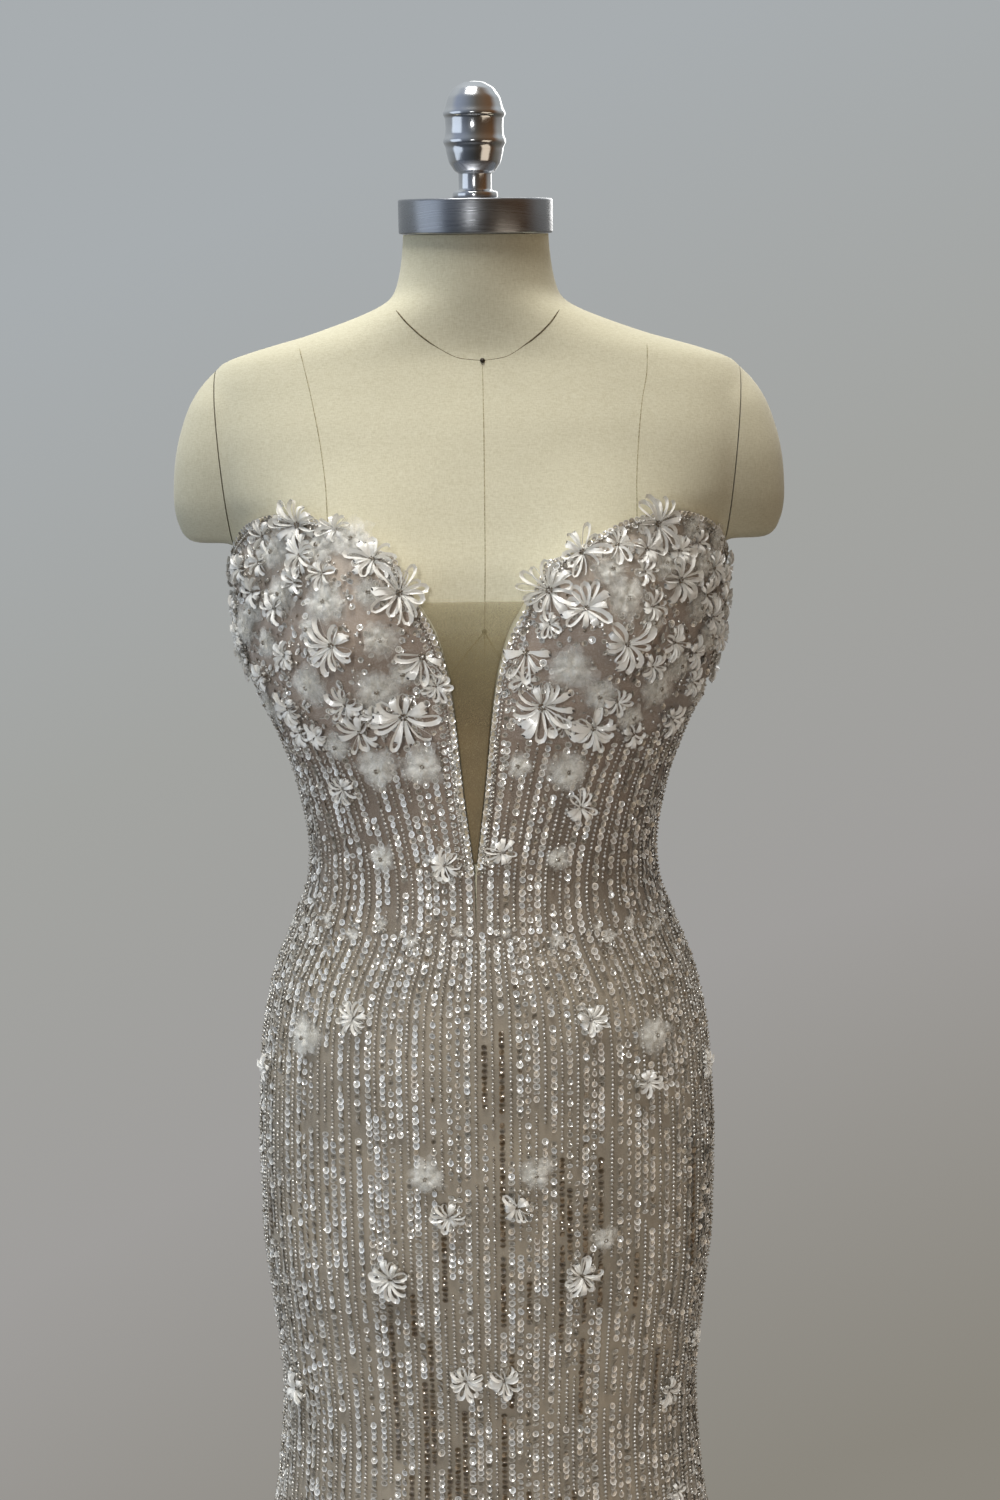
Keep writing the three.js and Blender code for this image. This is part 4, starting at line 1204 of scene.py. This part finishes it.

# %% [markdown]
# The flowers are given one by one, by their distance from the middle and their height: the large ones
# stand for their own solids, and the small ones and the puffs fill in between. The back of the gown
# has looser scatterings of the same kinds.

# %% Where the flowers sit
# node, x, z, radius, loops, sweep and heading in degrees
LARGE = [
    ("cup_flower_right_1", -117, 1328, 18, 15, 360, 0),
    ("cup_flower_right_2", -69, 1304, 15, 14, 360, 0),
    ("cup_flower_right_3", -53, 1283, 19, 16, 360, 0),
    ("cup_flower_right_4", -135, 1273, 12, 13, 360, 0),
    ("cup_flower_right_6", -94, 1251, 18, 14, 330, -90),
    ("cup_flower_right_7", -39, 1243, 19, 6, 200, -100),
    ("cup_flower_right_8", -51, 1203, 21, 15, 360, 0),
    ("cup_flower_right_9", -129, 1204, 14, 13, 300, -90),
    ("cup_flower_left_1", 117, 1326, 18, 15, 360, 0),
    ("cup_flower_left_2", 48, 1284, 19, 16, 360, 0),
    ("cup_flower_left_3", 131, 1289, 18, 14, 360, 0),
    ("cup_flower_left_4", 157, 1262, 13, 13, 360, 0),
    ("cup_flower_left_5", 94, 1250, 17, 14, 300, -90),
    ("cup_flower_left_7", 32, 1245, 19, 6, 200, -80),
    ("cup_flower_left_8", 41, 1209, 21, 15, 360, 0),
    ("cup_flower_left_9", 75, 1194, 16, 14, 360, 0),
    ("skirt_flower_right_1", -88, 990, 11, 15, 360, 0),
    ("skirt_flower_left_1", 72, 990, 11, 15, 360, 0),
    ("skirt_flower_right_2", -66, 807, 14, 14, 360, 0),
    ("skirt_flower_left_2", 65, 808, 13, 14, 360, 0),
    ("skirt_flower_right_3", -15, 736, 12, 13, 360, 0),
    ("skirt_flower_left_3", 11, 736, 12, 13, 360, 0),
]
LARGE_PUFFS = [("cup_flower_right_5", -159, 1258, 14), ("cup_flower_left_6", 61, 1235, 15)]
SMALL = {
    "right": [
        (-143, 1320, 11), (-116, 1307, 14), (-161, 1299, 12), (-169, 1270, 11), (-80, 1192, 15),
        (-88, 1212, 13), (-109, 1188, 10), (-149, 1226, 10), (-163, 1237, 10), (-93, 1149, 11),
        (-24.5, 1099, 11), (-156, 936, 10), (-25, 856, 11), (-137, 697, 12), (-118, 1290, 10),
        (-146, 1303, 12), (-100, 1296, 10), (-152, 1283, 12), (-166, 1252, 11), (-128, 1242, 11),
        (-92, 1324, 11), (-70, 1204, 9), (-30, 1222, 10), (-122, 1188, 9),
    ],
    "left": [
        (68, 1307, 16), (70, 1272, 16), (127, 1248, 13), (158, 1296, 12), (102, 1187, 11),
        (90, 1212, 10), (142, 1219, 11), (129, 1194, 12), (109, 1309, 12), (146, 1313, 9),
        (106, 1295, 9), (13, 1107, 11), (66, 1136, 11), (156, 936, 11), (111, 941, 10),
        (21, 863, 11), (128, 700, 11), (148, 726, 8), (135, 617, 8), (90, 1312, 12),
        (152, 1278, 12), (112, 1272, 11), (166, 1286, 11), (144, 1240, 11), (112, 1234, 10),
        (48, 1262, 9), (56, 1196, 9), (132, 1308, 12), (162, 1248, 10), (30, 1226, 9),
    ],
}
SMALL_PUFFS = {
    "right": [
        (-97, 1278, 15), (-66, 1254, 12), (-68, 1222, 15), (-111, 1223, 15), (-82, 1316, 14),
        (-129, 1283, 12), (-38, 1168, 14), (-68, 1165, 14), (-67, 1101, 9), (-123, 971, 14), (-40, 884, 12),
        (-134, 1310, 13), (-103, 1313, 12), (-152, 1270, 11), (-142, 1250, 11), (-72, 1284, 10),
        (-96, 1180, 10), (-146, 1206, 11), (-52, 1232, 10), (-110, 1260, 9),
    ],
    "left": [
        (94, 1278, 15), (116, 1219, 15), (154, 1250, 12), (143, 1325, 10), (161, 1316, 10), (24, 1167, 8),
        (57, 1163, 14), (50, 1101, 8), (116, 972, 13), (34, 886, 11), (81, 833, 9),
        (86, 1296, 12), (120, 1300, 11), (150, 1300, 12), (146, 1270, 11), (78, 1216, 11), (132, 1232, 11),
        (100, 1200, 10), (150, 1210, 10), (112, 1262, 9),
    ],
}
# degrees round from the centre front, height and radius, for the sides and back
BACK_FLOWERS = [
    (84, 1300, 11), (88, 1272, 12), (83, 1246, 12), (90, 1228, 11), (104, 1292, 13),
    (118, 1282, 15), (134, 1284, 12), (150, 1276, 14), (166, 1274, 11), (98, 1262, 14),
    (112, 1252, 12), (128, 1256, 13), (145, 1250, 10), (106, 1226, 12), (122, 1224, 10), (160, 1240, 10),
    (110, 985, 11), (142, 965, 12), (166, 930, 10), (124, 880, 11), (152, 850, 12), (104, 800, 11),
    (168, 760, 12), (136, 740, 11), (112, 650, 12), (150, 600, 12), (170, 480, 12), (125, 470, 12),
    (96, 520, 11), (22, 560, 12), (48, 530, 12), (74, 560, 11), (12, 400, 12), (38, 360, 12), (66, 410, 12),
    (92, 340, 12), (120, 310, 12), (148, 370, 12), (30, 200, 13), (60, 160, 13), (100, 190, 13),
    (140, 170, 13),
]
BACK_PUFFS = [
    (100, 1278, 14), (126, 1270, 14), (142, 1268, 13), (158, 1260, 12), (116, 1240, 13), (101, 1240, 12),
    (120, 960, 13), (158, 900, 12), (110, 720, 12), (146, 680, 12), (60, 480, 12), (160, 420, 12),
    (110, 410, 12), (20, 300, 12),
]
# small frayed tufts that hide the waist seam, placed in the same way
TUFTS = [
    (9, 1052, 4), (24, 1046, 5), (33, 1053, 4), (41, 1045, 5), (52, 1050, 4.5), (60, 1041, 5), (70, 1047, 4),
    (80, 1042, 5), (91, 1046, 4), (104, 1042, 5), (118, 1046, 4.5), (133, 1043, 5), (149, 1045, 4),
    (164, 1042, 4.5),
]
SMALL_LOOPS = (9, 14)
print(len(LARGE), "large flowers,", sum(map(len, SMALL.values())) + 2 * len(BACK_FLOWERS), "small ones")

# %% [markdown]
# The large flowers are pieces of their own. The small ones of each side are joined in one piece.

# %% Sewing the flowers on
for node, x, z, radius, loops, sweep, toward in LARGE:
    flowers = Flowers()
    flowers.flower(float(angle_at(x, z)), z, radius, loops, sweep, toward)
    flowers.finish(f"ribbon_{node}", node)
for node, x, z, radius in LARGE_PUFFS:
    puffs = Puffs()
    puffs.puff(float(angle_at(x, z)), z, radius)
    finish_piece(puffs.build(f"organza_{node}"), "satin_ribbon", organza, node)


def strewn(sign, degrees, z, reach):
    """An angle and a height near the given ones."""
    return sign * math.radians(degrees + rng.uniform(-3, 3)), z + rng.uniform(-reach, reach)


for side_name, sign in SIDES.items():
    flowers, puffs = Flowers(), Puffs()
    for degrees, z, radius in TUFTS:
        origin, axes = frame_at(*strewn(sign, degrees, z, 3), OUTSIDE + 0.3)
        puffs.ruffle(origin, axes, radius, radius * 0.5)
        puffs.threads(origin, axes, radius * 1.3, 14)
        flowers.crystals(origin, axes, radius * 1.4)
    for x, z, radius in SMALL[side_name]:
        flowers.flower(float(angle_at(x, z)), z, radius, int(rng.integers(*SMALL_LOOPS)))
    for degrees, z, radius in BACK_FLOWERS:
        flowers.flower(*strewn(sign, degrees, z, 6), radius, int(rng.integers(*SMALL_LOOPS)))
    for x, z, radius in SMALL_PUFFS[side_name]:
        puffs.puff(float(angle_at(x, z)), z, radius, flowers)
    for degrees, z, radius in BACK_PUFFS:
        puffs.puff(*strewn(sign, degrees, z, 6), radius, flowers)
    ribbons = flowers.finish(f"small_flowers_{side_name}")
    finish_piece(puffs.build(f"puffs_{side_name}"), "satin_ribbon", organza)
    print("flowers", side_name, len(ribbons.data.polygons), "faces")

# %% [markdown]
# The dress form is one padded figure. Its sections are lofted finely, the arm stubs are added, and a
# voxel remesh melts them into one skin. Then it is cut at the armholes and the neck with blocks,
# because those cuts are crisp on the real one.

# %% Dress form
FORM_INSET, FORM_FULLNESS, FORM_BOTTOM, FORM_TOP = 1.35, 0.9, 735, 1546
ARM_ROOT, ARM_SET_BACK = 140, 4
NECK_TILT, NECK_SEAT = math.radians(10), (0, -14, 1525.3)
VOXEL, CUT = 4.5, 300
# heights, distances from the middle at those heights, and the gap of the armhole, in millimetres
ARMHOLE = {"bottom": 1315, "top": 1450, "low": 171.8, "high": 184.6, "gap": 0.9}


def tube(name, around, rows, shape):
    """A closed round skin from a cylinder primitive; shape gives a point for an angle and a share."""
    bpy.ops.mesh.primitive_cylinder_add(vertices=around, radius=1, depth=2, end_fill_type="NGON")
    obj = bpy.context.object
    obj.name = name
    bpy.ops.object.mode_set(mode="EDIT")
    bpy.ops.mesh.select_all(action="DESELECT")
    bpy.ops.object.mode_set(mode="OBJECT")
    for edge in obj.data.edges:
        ends = [obj.data.vertices[i].co.z for i in edge.vertices]
        edge.select = abs(ends[0] - ends[1]) > 1
    bpy.ops.object.mode_set(mode="EDIT")
    bpy.ops.mesh.select_mode(type="EDGE")
    bpy.ops.mesh.subdivide(number_cuts=rows - 1)
    bpy.ops.object.mode_set(mode="OBJECT")
    x, y, z = points_of(obj).T
    move_points(obj, shape(np.arctan2(x, -y), (z + 1) / 2))
    return obj


def form_shape(turn, share):
    return level(turn, mix(FORM_BOTTOM, FORM_TOP, share), -FORM_INSET, FORM_FULLNESS)


def arm_shape(sign):
    def shape(turn, share):
        z = mix(ARM[0, 0], ARM[-1, 0], share)
        x = ARM_ROOT + (arm_reach(z) - ARM_ROOT) * np.sin(turn)
        return np.stack([sign * x, ARM_SET_BACK - arm_depth(z) * np.cos(turn), z], -1)

    return shape


torso = tube("dress_form", 120, 200, form_shape)
for sign in SIDES.values():
    stub = tube("arm_stub", 60, 40, arm_shape(sign))
    if sign < 0:
        stub.data.flip_normals()
    stub.select_set(True)
    activate(torso)
    bpy.ops.object.join()
apply(torso, "REMESH", mode="VOXEL", voxel_size=VOXEL * MM)
apply(torso, "SMOOTH", factor=0.5, iterations=6)
print("form", len(torso.data.polygons), "faces")

# %% [markdown]
# Each armhole's block is used twice: what it takes from the torso is the room for the arm stub, and
# what it keeps of a copy, a little further out, is the stub.

# %% Cutting the form
def block(name, corners, depth):
    """A block whose front outline is given as x and z, standing across the form."""
    bpy.ops.mesh.primitive_cube_add(size=2)
    obj = bpy.context.object
    obj.name = name
    points = points_of(obj)
    order = {(-1, -1): 0, (1, -1): 1, (1, 1): 2, (-1, 1): 3}
    picked = np.array([corners[order[(int(np.sign(p[0])), int(np.sign(p[2])))]] for p in points])
    move_points(obj, np.stack([picked[:, 0], points[:, 1] * depth, picked[:, 1]], 1))
    return obj


def armhole_block(sign, gap):
    bottom, top, low, high = (ARMHOLE[name] for name in ("bottom", "top", "low", "high"))
    low, high = low + gap, high + gap
    corners = [(low, bottom), (CUT, bottom), (CUT, top), (high, top)]
    made = block("armhole_block", [(sign * x, z) for x, z in corners], CUT / 2)
    if sign < 0:
        made.data.flip_normals()
    return made


def cut(obj, tool, operation):
    apply(obj, "BOOLEAN", object=tool, operation=operation, solver="EXACT")
    bpy.data.objects.remove(tool)


def copy_of(obj, name):
    made = obj.copy()
    made.data = obj.data.copy()
    made.name = name
    bpy.context.scene.collection.objects.link(made)
    return made


arms = {}
for side_name, sign in SIDES.items():
    arms[side_name] = copy_of(torso, f"arm_stub_{side_name}")
    cut(arms[side_name], armhole_block(sign, ARMHOLE["gap"]), "INTERSECT")
for sign in SIDES.values():
    cut(torso, armhole_block(sign, 0), "DIFFERENCE")
neck_tool = block("neck_block", [(-CUT, 0), (CUT, 0), (CUT, CUT), (-CUT, CUT)], CUT)
neck_tool.data.transform(Matrix.Translation(Vector(NECK_SEAT) * MM) @ Matrix.Rotation(NECK_TILT, 4, "X"))
cut(torso, neck_tool, "DIFFERENCE")
print("cut form", len(torso.data.polygons), "faces")

# %% [markdown]
# Linen is a plain weave: two sets of fine threads at right angles, and a broad mottle for the age of
# the cloth.

# %% Linen
LINEN_STOPS = [(0.35, srgb(198, 191, 162)), (0.5, srgb(208, 202, 175)), (0.66, srgb(216, 211, 186))]
linen, weave, linen_shader = new_material("linen", Roughness=0.92, Sheen_Weight=0.15)
THREAD_SCALES = [(1500, 1500, 300), (300, 300, 1500)]
threads = [noise(weave, stretched(weave, place(weave), scale), 1.0, 3.0) for scale in THREAD_SCALES]
both = calculate(weave, "MULTIPLY", calculate(weave, "ADD", *threads), 0.5)
aged = remap(weave, noise(weave, place(weave), 7.0, 3.0), 0.3, 0.7, 0.93, 1.04)
linen_colour = scaled(weave, ramp(weave, both, LINEN_STOPS), aged)
wire(weave, linen_shader, Base_Color=linen_colour, Normal=bumped(weave, both, 0.35, 0.0004))


def flecked(name, scale, stops, **values):
    """A plain material whose colour varies a little."""
    made, tree, shader = new_material(name, **values)
    wire(tree, shader, Base_Color=ramp(tree, noise(tree, place(tree), scale), stops))
    return made


SEAM_STOPS = [(0.4, srgb(140, 130, 100)), (0.6, srgb(182, 173, 142))]
NECK_STOPS = [(0.4, srgb(84, 72, 50)), (0.6, srgb(124, 112, 84))]
PIN_STOPS = [(0.3, srgb(40, 34, 28)), (0.7, srgb(70, 62, 50))]
seam_thread = flecked("seam_thread", 700.0, SEAM_STOPS, Roughness=0.9)
neck_thread = flecked("neck_thread", 700.0, NECK_STOPS, Roughness=0.9)
pin_steel = flecked("dark_pin", 900.0, PIN_STOPS, Roughness=0.4, Metallic=0.6)
finish_piece(torso, "linen", linen, "form_torso", crisp=40)
for side_name, arm in arms.items():
    finish_piece(arm, "linen", linen, f"form_arm_{side_name}", crisp=40)
print("linen on the form and", len(arms), "arm stubs")

# %% [markdown]
# The form's own seams are thin strips that stand a little proud of the linen, and two dark pins mark
# where they meet.

# %% Seams and pins of the form
# x and height down each seam of the form's front
SEAMS = {
    "centre_front": [(4, 1436), (4.5, 1380), (4.5, 1320), (3.5, 1250), (3, 1180)],
    "dart_right": [(3.5, 1257), (-8, 1243), (-24, 1222)],
    "dart_left": [(3.5, 1257), (11, 1244), (20, 1232)],
    "princess_right": [(-121, 1449), (-112, 1415), (-105, 1381), (-101, 1350), (-100, 1330)],
    "princess_left": [(116, 1449), (115, 1430), (111, 1409), (108, 1384), (106, 1352), (106, 1330)],
    "neck_right": [(-60, 1479), (-46, 1461), (-28, 1446), (-10, 1437.5), (4, 1436)],
    "neck_left": [(4, 1436), (18, 1438), (34, 1447), (49, 1460), (60, 1476)],
}


SEAM_WIDTHS = {"neck": 0.95, "dart": 0.9, "centre": 0.65, "princess": 0.65}
PINS, PIN_RADIUS = [(4, 1436), (3.5, 1257)], 1.7


def seam_strip(name, stops):
    kind = name.split("_")[0]
    strip, s, t = grid(f"form_seam_{name}", 3, 60)
    run = np.linspace(0, 1, len(stops))
    read_x, read_z = (curve(run, values) for values in np.array(stops, float).T)
    before, after = np.maximum(t - 0.01, 0), np.minimum(t + 0.01, 1)
    dx, dz = read_x(after) - read_x(before), read_z(after) - read_z(before)
    shift, length = (s - 0.5) * SEAM_WIDTHS[kind], np.hypot(dx, dz)
    x, z = read_x(t) + shift * dz / length, read_z(t) - shift * dx / length
    crown = 0.1 + 0.25 * np.sin(np.pi * s)
    move_points(strip, off(angle_at(x, z), z, -FORM_INSET + crown, FORM_FULLNESS))
    finish_piece(strip, "linen", neck_thread if kind == "neck" else seam_thread)


for name, stops in SEAMS.items():
    seam_strip(name, stops)
for number, (x, z) in enumerate(PINS, 1):
    seat = off(angle_at(x, z), np.float64(z), -FORM_INSET + 0.5, FORM_FULLNESS) * MM
    bpy.ops.mesh.primitive_uv_sphere_add(segments=16, ring_count=8, radius=PIN_RADIUS * MM, location=seat)
    pin = bpy.context.object
    bpy.ops.object.transform_apply(location=True)
    pin.name = f"pin_{number}"
    finish_piece(pin, "linen", pin_steel)
print(len(SEAMS), "seams and", len(PINS), "pins")

# %% [markdown]
# The hard pieces are turned: an outline is drawn and spun round its axis. The cap is steel brushed
# in rings, and the finial is polished.

# %% Metal
def spun(name, outline, steps, tilt=0.0, seat=(0, 0, 0)):
    """Spin an outline of radius and height, in millimetres, round the upright axis."""
    mesh = bpy.data.meshes.new(name)
    edges = [(i, i + 1) for i in range(len(outline) - 1)]
    mesh.from_pydata([(r * MM, 0, z * MM) for r, z in outline], edges, [])
    obj = bpy.data.objects.new(name, mesh)
    bpy.context.scene.collection.objects.link(obj)
    turn = {"steps": steps, "angle": 2 * math.pi, "center": (0, 0, 0), "axis": (0, 0, 1)}
    edit(
        obj,
        (bpy.ops.mesh.spin, turn),
        (bpy.ops.mesh.remove_doubles, {"threshold": 0.00002}),
        (bpy.ops.mesh.normals_make_consistent, {"inside": False}),
    )
    obj.data.transform(Matrix.Translation(Vector(seat) * MM) @ Matrix.Rotation(tilt, 4, "X"))
    return obj


def rounded(outline, radius, points=4):
    """The outline with each inner corner rounded."""
    out = [outline[0]]
    for before, corner, after in zip(outline, outline[1:], outline[2:]):
        corner = np.array(corner, float)
        back, on = np.array(before, float) - corner, np.array(after, float) - corner
        reach = min(radius, np.linalg.norm(back) * 0.45, np.linalg.norm(on) * 0.45)
        start, end = corner + unit(back) * reach, corner + unit(on) * reach
        for t in np.linspace(0, 1, points):
            out.append(tuple((1 - t) ** 2 * start + 2 * t * (1 - t) * corner + t * t * end))
    return out + [outline[-1]]


def metal_material(name, colour, roughness, ring_scale, strength, metallic=1.0):
    """Metal brushed in rings: the larger the ring scale, the finer they are."""
    made, tree, shader = new_material(name, Metallic=metallic, Roughness=roughness, Base_Color=colour)
    lines = noise(tree, stretched(tree, place(tree), (6, 6, ring_scale)), 1.0, 4.0)
    rough = remap(tree, lines, 0.3, 0.7, roughness * 0.7, roughness * 1.3)
    wire(tree, shader, Roughness=rough, Normal=bumped(tree, lines, strength, 0.0002))
    return made


brushed = metal_material("brushed_steel", srgb(150, 152, 156), 0.3, 1800, 0.25)
chrome = metal_material("chrome", srgb(212, 213, 215), 0.15, 40, 0.02)
iron = metal_material("painted_iron", srgb(78, 79, 82), 0.5, 300, 0.2, metallic=0.2)
pole_steel = metal_material("pole_steel", srgb(160, 161, 164), 0.25, 500, 0.15)
zip_metal = metal_material("zip_metal", srgb(164, 160, 150), 0.3, 900, 0.2)

print("metals", [made.name for made in (brushed, chrome, iron, pole_steel, zip_metal)])

# %% [markdown]
# The outlines are measured from the picture for the cap and the finial, and are usual sizes for the
# stand. The cap and the finial tip forward with the neck.

# %% Turned pieces
CAP_HEIGHT = 22.5
CAP_OUTLINE = [(0, 0), (53, 0), (53, CAP_HEIGHT), (0, CAP_HEIGHT)]
FINIAL_OUTLINE = [
    (0, 0), (15.5, 0), (15.5, 4.6), (11.3, 5), (11.3, 16.6), (13.6, 17.4), (17.6, 23), (19.4, 30),
    (19.8, 33), (21.3, 35.8), (21.3, 37.4), (19.9, 40.5), (19.5, 46), (19.9, 51.5), (21.1, 53.2),
    (21.1, 54.8), (19.6, 57.5), (17.6, 64.5), (13.4, 70.2), (7, 73.7), (0, 74.5),
]
BASE_OUTLINE = [(0, 0), (210, 0), (210, 12), (0, 12)]
ON_BASE = (0, 0, 12.3)
COLLAR_OUTLINE = [(16.3, 0), (32, 0), (32, 24), (22, 34), (16.3, 34), (16.3, 0)]
POLE_OUTLINE = [(0, 0), (16, 0), (16, 722.4), (0, 722.4)]
FIT = 0.3
tilted_up = Vector((0, -math.sin(NECK_TILT), math.cos(NECK_TILT)))
cap_seat = Vector(NECK_SEAT) + tilted_up * FIT
finial_seat = Vector(NECK_SEAT) + tilted_up * (2 * FIT + CAP_HEIGHT)
# piece, node, outline, steps, tilt, seat, slot and finish
TURNED = [
    ("neck_plate", "neck_cap", rounded(CAP_OUTLINE, 1.5), 96, NECK_TILT, cap_seat, "brushed_steel", brushed),
    ("neck_finial", "finial", rounded(FINIAL_OUTLINE, 1.6), 72, NECK_TILT, finial_seat, "chrome", chrome),
    ("weighted_base", "stand_base", rounded(BASE_OUTLINE, 3), 128, 0, (0, 0, 0), "painted_iron", iron),
    ("pole_collar", "stand_collar", COLLAR_OUTLINE, 64, 0, ON_BASE, "painted_iron", iron),
    ("pole", "stand_pole", rounded(POLE_OUTLINE, 0.8), 48, 0, ON_BASE, "pole_steel", pole_steel),
]
for name, node, outline, steps, tilt, seat, slot, finish in TURNED:
    piece = finish_piece(spun(name, outline, steps, tilt, seat), slot, finish, node, crisp=40)
    print(name, len(piece.data.polygons), "faces")

# %% [markdown]
# The zip closes the centre back: a woven tape with two rows of coil teeth, and a metal slider whose
# pull tab swings. The hard pieces keep their solids' shape, with their edges rounded.

# %% Zip
TAPE_ROWS, TAPE_WALL = 259, 1.1
TOOTH_PITCH, TOOTH_SIZE, TOOTH_REACH = 1.6, 1.5, 0.75


def softened(node, name, width, body=BODY):
    """A copy of a solid with its flat faces joined and its edges rounded."""
    made = copy_of(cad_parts[node], name)
    made.hide_render = made.hide_viewport = False
    made.parent = None
    edit(
        made,
        (bpy.ops.mesh.remove_doubles, {"threshold": 0.00001}),
        (bpy.ops.mesh.dissolve_limited, {"angle_limit": math.radians(2)}),
    )
    apply(made, "BEVEL", width=width * MM, segments=2, limit_method="ANGLE")
    return finish_piece(made, "zip_metal", zip_metal, node, body=body)


softened("zip_slider", "slider_body", 0.3)
softened("zip_pull", "pull_tab", 0.25, body="zip_pull_tab")

tape, s, t = grid("zip_tape", 4, TAPE_ROWS)
tape_z = mix(ZIP_END + 2, ZIP_TOP, t)
tape_angle = math.pi - (0.5 - s) * 2 * ZIP_HALF * per_mm(math.pi, tape_z)
move_points(tape, level(tape_angle, tape_z, OUTSIDE - 0.4))
apply(tape, "SOLIDIFY", thickness=TAPE_WALL * MM, offset=-1)
finish_piece(tape, "zip_tape", binding, "zip_chain")
teeth = Beads()
tooth_z = np.arange(ZIP_END + 3, ZIP_TOP - 1, TOOTH_PITCH)
for side in (-1, 1):
    tooth_angle = math.pi + side * TOOTH_REACH * per_mm(math.pi, tooth_z)
    normal = outward(tooth_angle, tooth_z + side * 0.4)
    up, tones = np.tile([0.0, 0.0, 1.0], (len(tooth_z), 1)), rng.uniform(0.45, 0.6, len(tooth_z))
    seats = level(tooth_angle, tooth_z, OUTSIDE - 0.1)
    teeth.add("pearl", seats, up, normal, TOOTH_SIZE, tones, 0.0)
finish_piece(teeth.build("zip_teeth"), "zip_tape", BEAD_FINISHES)
print("zip", len(tooth_z), "teeth a side")

# %% [markdown]
# The stage is plain: a pale round floor and a grey room. The main light hangs high in front, so the
# chest and the hips are bright and the neck and the midriff are in half shade. A cool window stands
# on the left, a weak warm light comes from the low right and a small lamp hangs in front. Two soft
# spots make the sequins glint without lighting the neck, and a light behind shows the back.

# %% Stage and light
bpy.ops.mesh.primitive_circle_add(vertices=96, radius=0.8, fill_type="NGON", location=(0, 0, -0.0005))
floor = bpy.context.object
floor.name = "floor"
floor.data.materials.append(new_material("pale_floor", Roughness=0.8, Base_Color=srgb(190, 188, 184))[0])

# the background's greys from low right to high left, darker low on the right with painted shade, and the
# room's colours from left to right
BACKGROUND_SHADE_STOPS = [
    (0.2, srgb(139, 135, 126)), (0.34, srgb(160, 158, 156)),
    (0.47, srgb(163, 164, 161)), (0.62, srgb(168, 173, 176)),
]
ROOM_STOPS = [
    (0.0, srgb(140, 150, 168)), (0.4, srgb(104, 108, 112)), (0.6, srgb(92, 84, 74)), (1.0, srgb(106, 78, 54)),
]


def room_world():
    """A grey background for the eye, with painted shade darker towards its low right; for light, a room
    dimmer in front and warm on the right.
    """
    world = bpy.data.worlds.new("plain_room")
    bpy.context.scene.world = world
    world.use_nodes = True
    tree = world.node_tree
    facing = add(tree, "ShaderNodeTexCoord").outputs["Generated"]
    way = add(tree, "ShaderNodeSeparateXYZ", {0: facing}).outputs
    rise = calculate(tree, "MULTIPLY_ADD", way["Z"], 0.5, 0.5)
    # the background the eye sees has painted shade, darker towards the low right
    behind = ramp(tree, calculate(tree, "MULTIPLY_ADD", way["X"], -0.2, rise), BACKGROUND_SHADE_STOPS)
    room = ramp(tree, remap(tree, way["X"], -0.9, 0.9), ROOM_STOPS)
    around = blend(tree, remap(tree, way["Y"], 0.25, -0.2), behind, room)
    falling = scaled(tree, around, remap(tree, way["Z"], -0.6, 0.9, 0.35, 1.7))
    eye = add(tree, "ShaderNodeLightPath").outputs["Is Camera Ray"]
    wire(tree, tree.nodes["Background"], Color=blend(tree, eye, falling, behind))


room_world()


# name, place, height it points at, and settings, in metres and watts
WHITE = (1.0, 1.0, 1.0)
AREAS = [
    ("high_light", (-0.35, -0.85, 4.4), 1.1, {"size": 1.1, "energy": 111, "color": (1.0, 0.99, 0.96)}),
    ("window_light", (-1.9, -0.6, 1.3), 0.9, {"size": 1.6, "energy": 7, "color": (0.8, 0.89, 1.0)}),
    ("warm_fill", (1.5, -1.2, 0.4), 0.8, {"size": 1.3, "energy": 5, "color": (1.0, 0.86, 0.68)}),
    ("small_lamp", (-0.35, -2.7, 1.2), 1.4, {"size": 0.45, "energy": 4.5, "color": WHITE}),
    ("back_light", (0.7, 2.3, 2.5), 1.0, {"size": 1.5, "energy": 18, "color": (1.0, 0.98, 0.95)}),
]
SOFT_SPOT = {"spot_blend": 1.0, "shadow_soft_size": 0.07}
SPOTS = [
    ("skirt_spot", (-0.5, -2.4, 1.4), 0.8, {"energy": 66, "spot_size": math.radians(25), **SOFT_SPOT}),
    ("bust_spot", (-0.5, -2.4, 1.9), 1.2, {"energy": 62, "spot_size": math.radians(11), **SOFT_SPOT}),
]
for kind, lights in (("AREA", AREAS), ("SPOT", SPOTS)):
    for name, location, aim, settings in lights:
        bpy.ops.object.light_add(type=kind, location=location)
        lamp = bpy.context.object
        lamp.name = name
        for key, value in settings.items():
            setattr(lamp.data, key, value)
        lamp.rotation_euler = (Vector((0, 0, aim)) - Vector(location)).to_track_quat("-Z", "Y").to_euler()
bpy.context.scene.view_settings.view_transform = "Standard"
print(len(AREAS), "area lights and", len(SPOTS), "spots")

# %% [markdown]
# Last, the shown pieces and their triangles are counted.

# %% Finish
shown = [obj for obj in bpy.context.scene.objects if obj.type == "MESH" and not obj.hide_render]
triangles = sum(len(obj.data.loop_triangles) or len(obj.data.polygons) for obj in shown)
print("pieces", len(shown), "triangles", triangles)
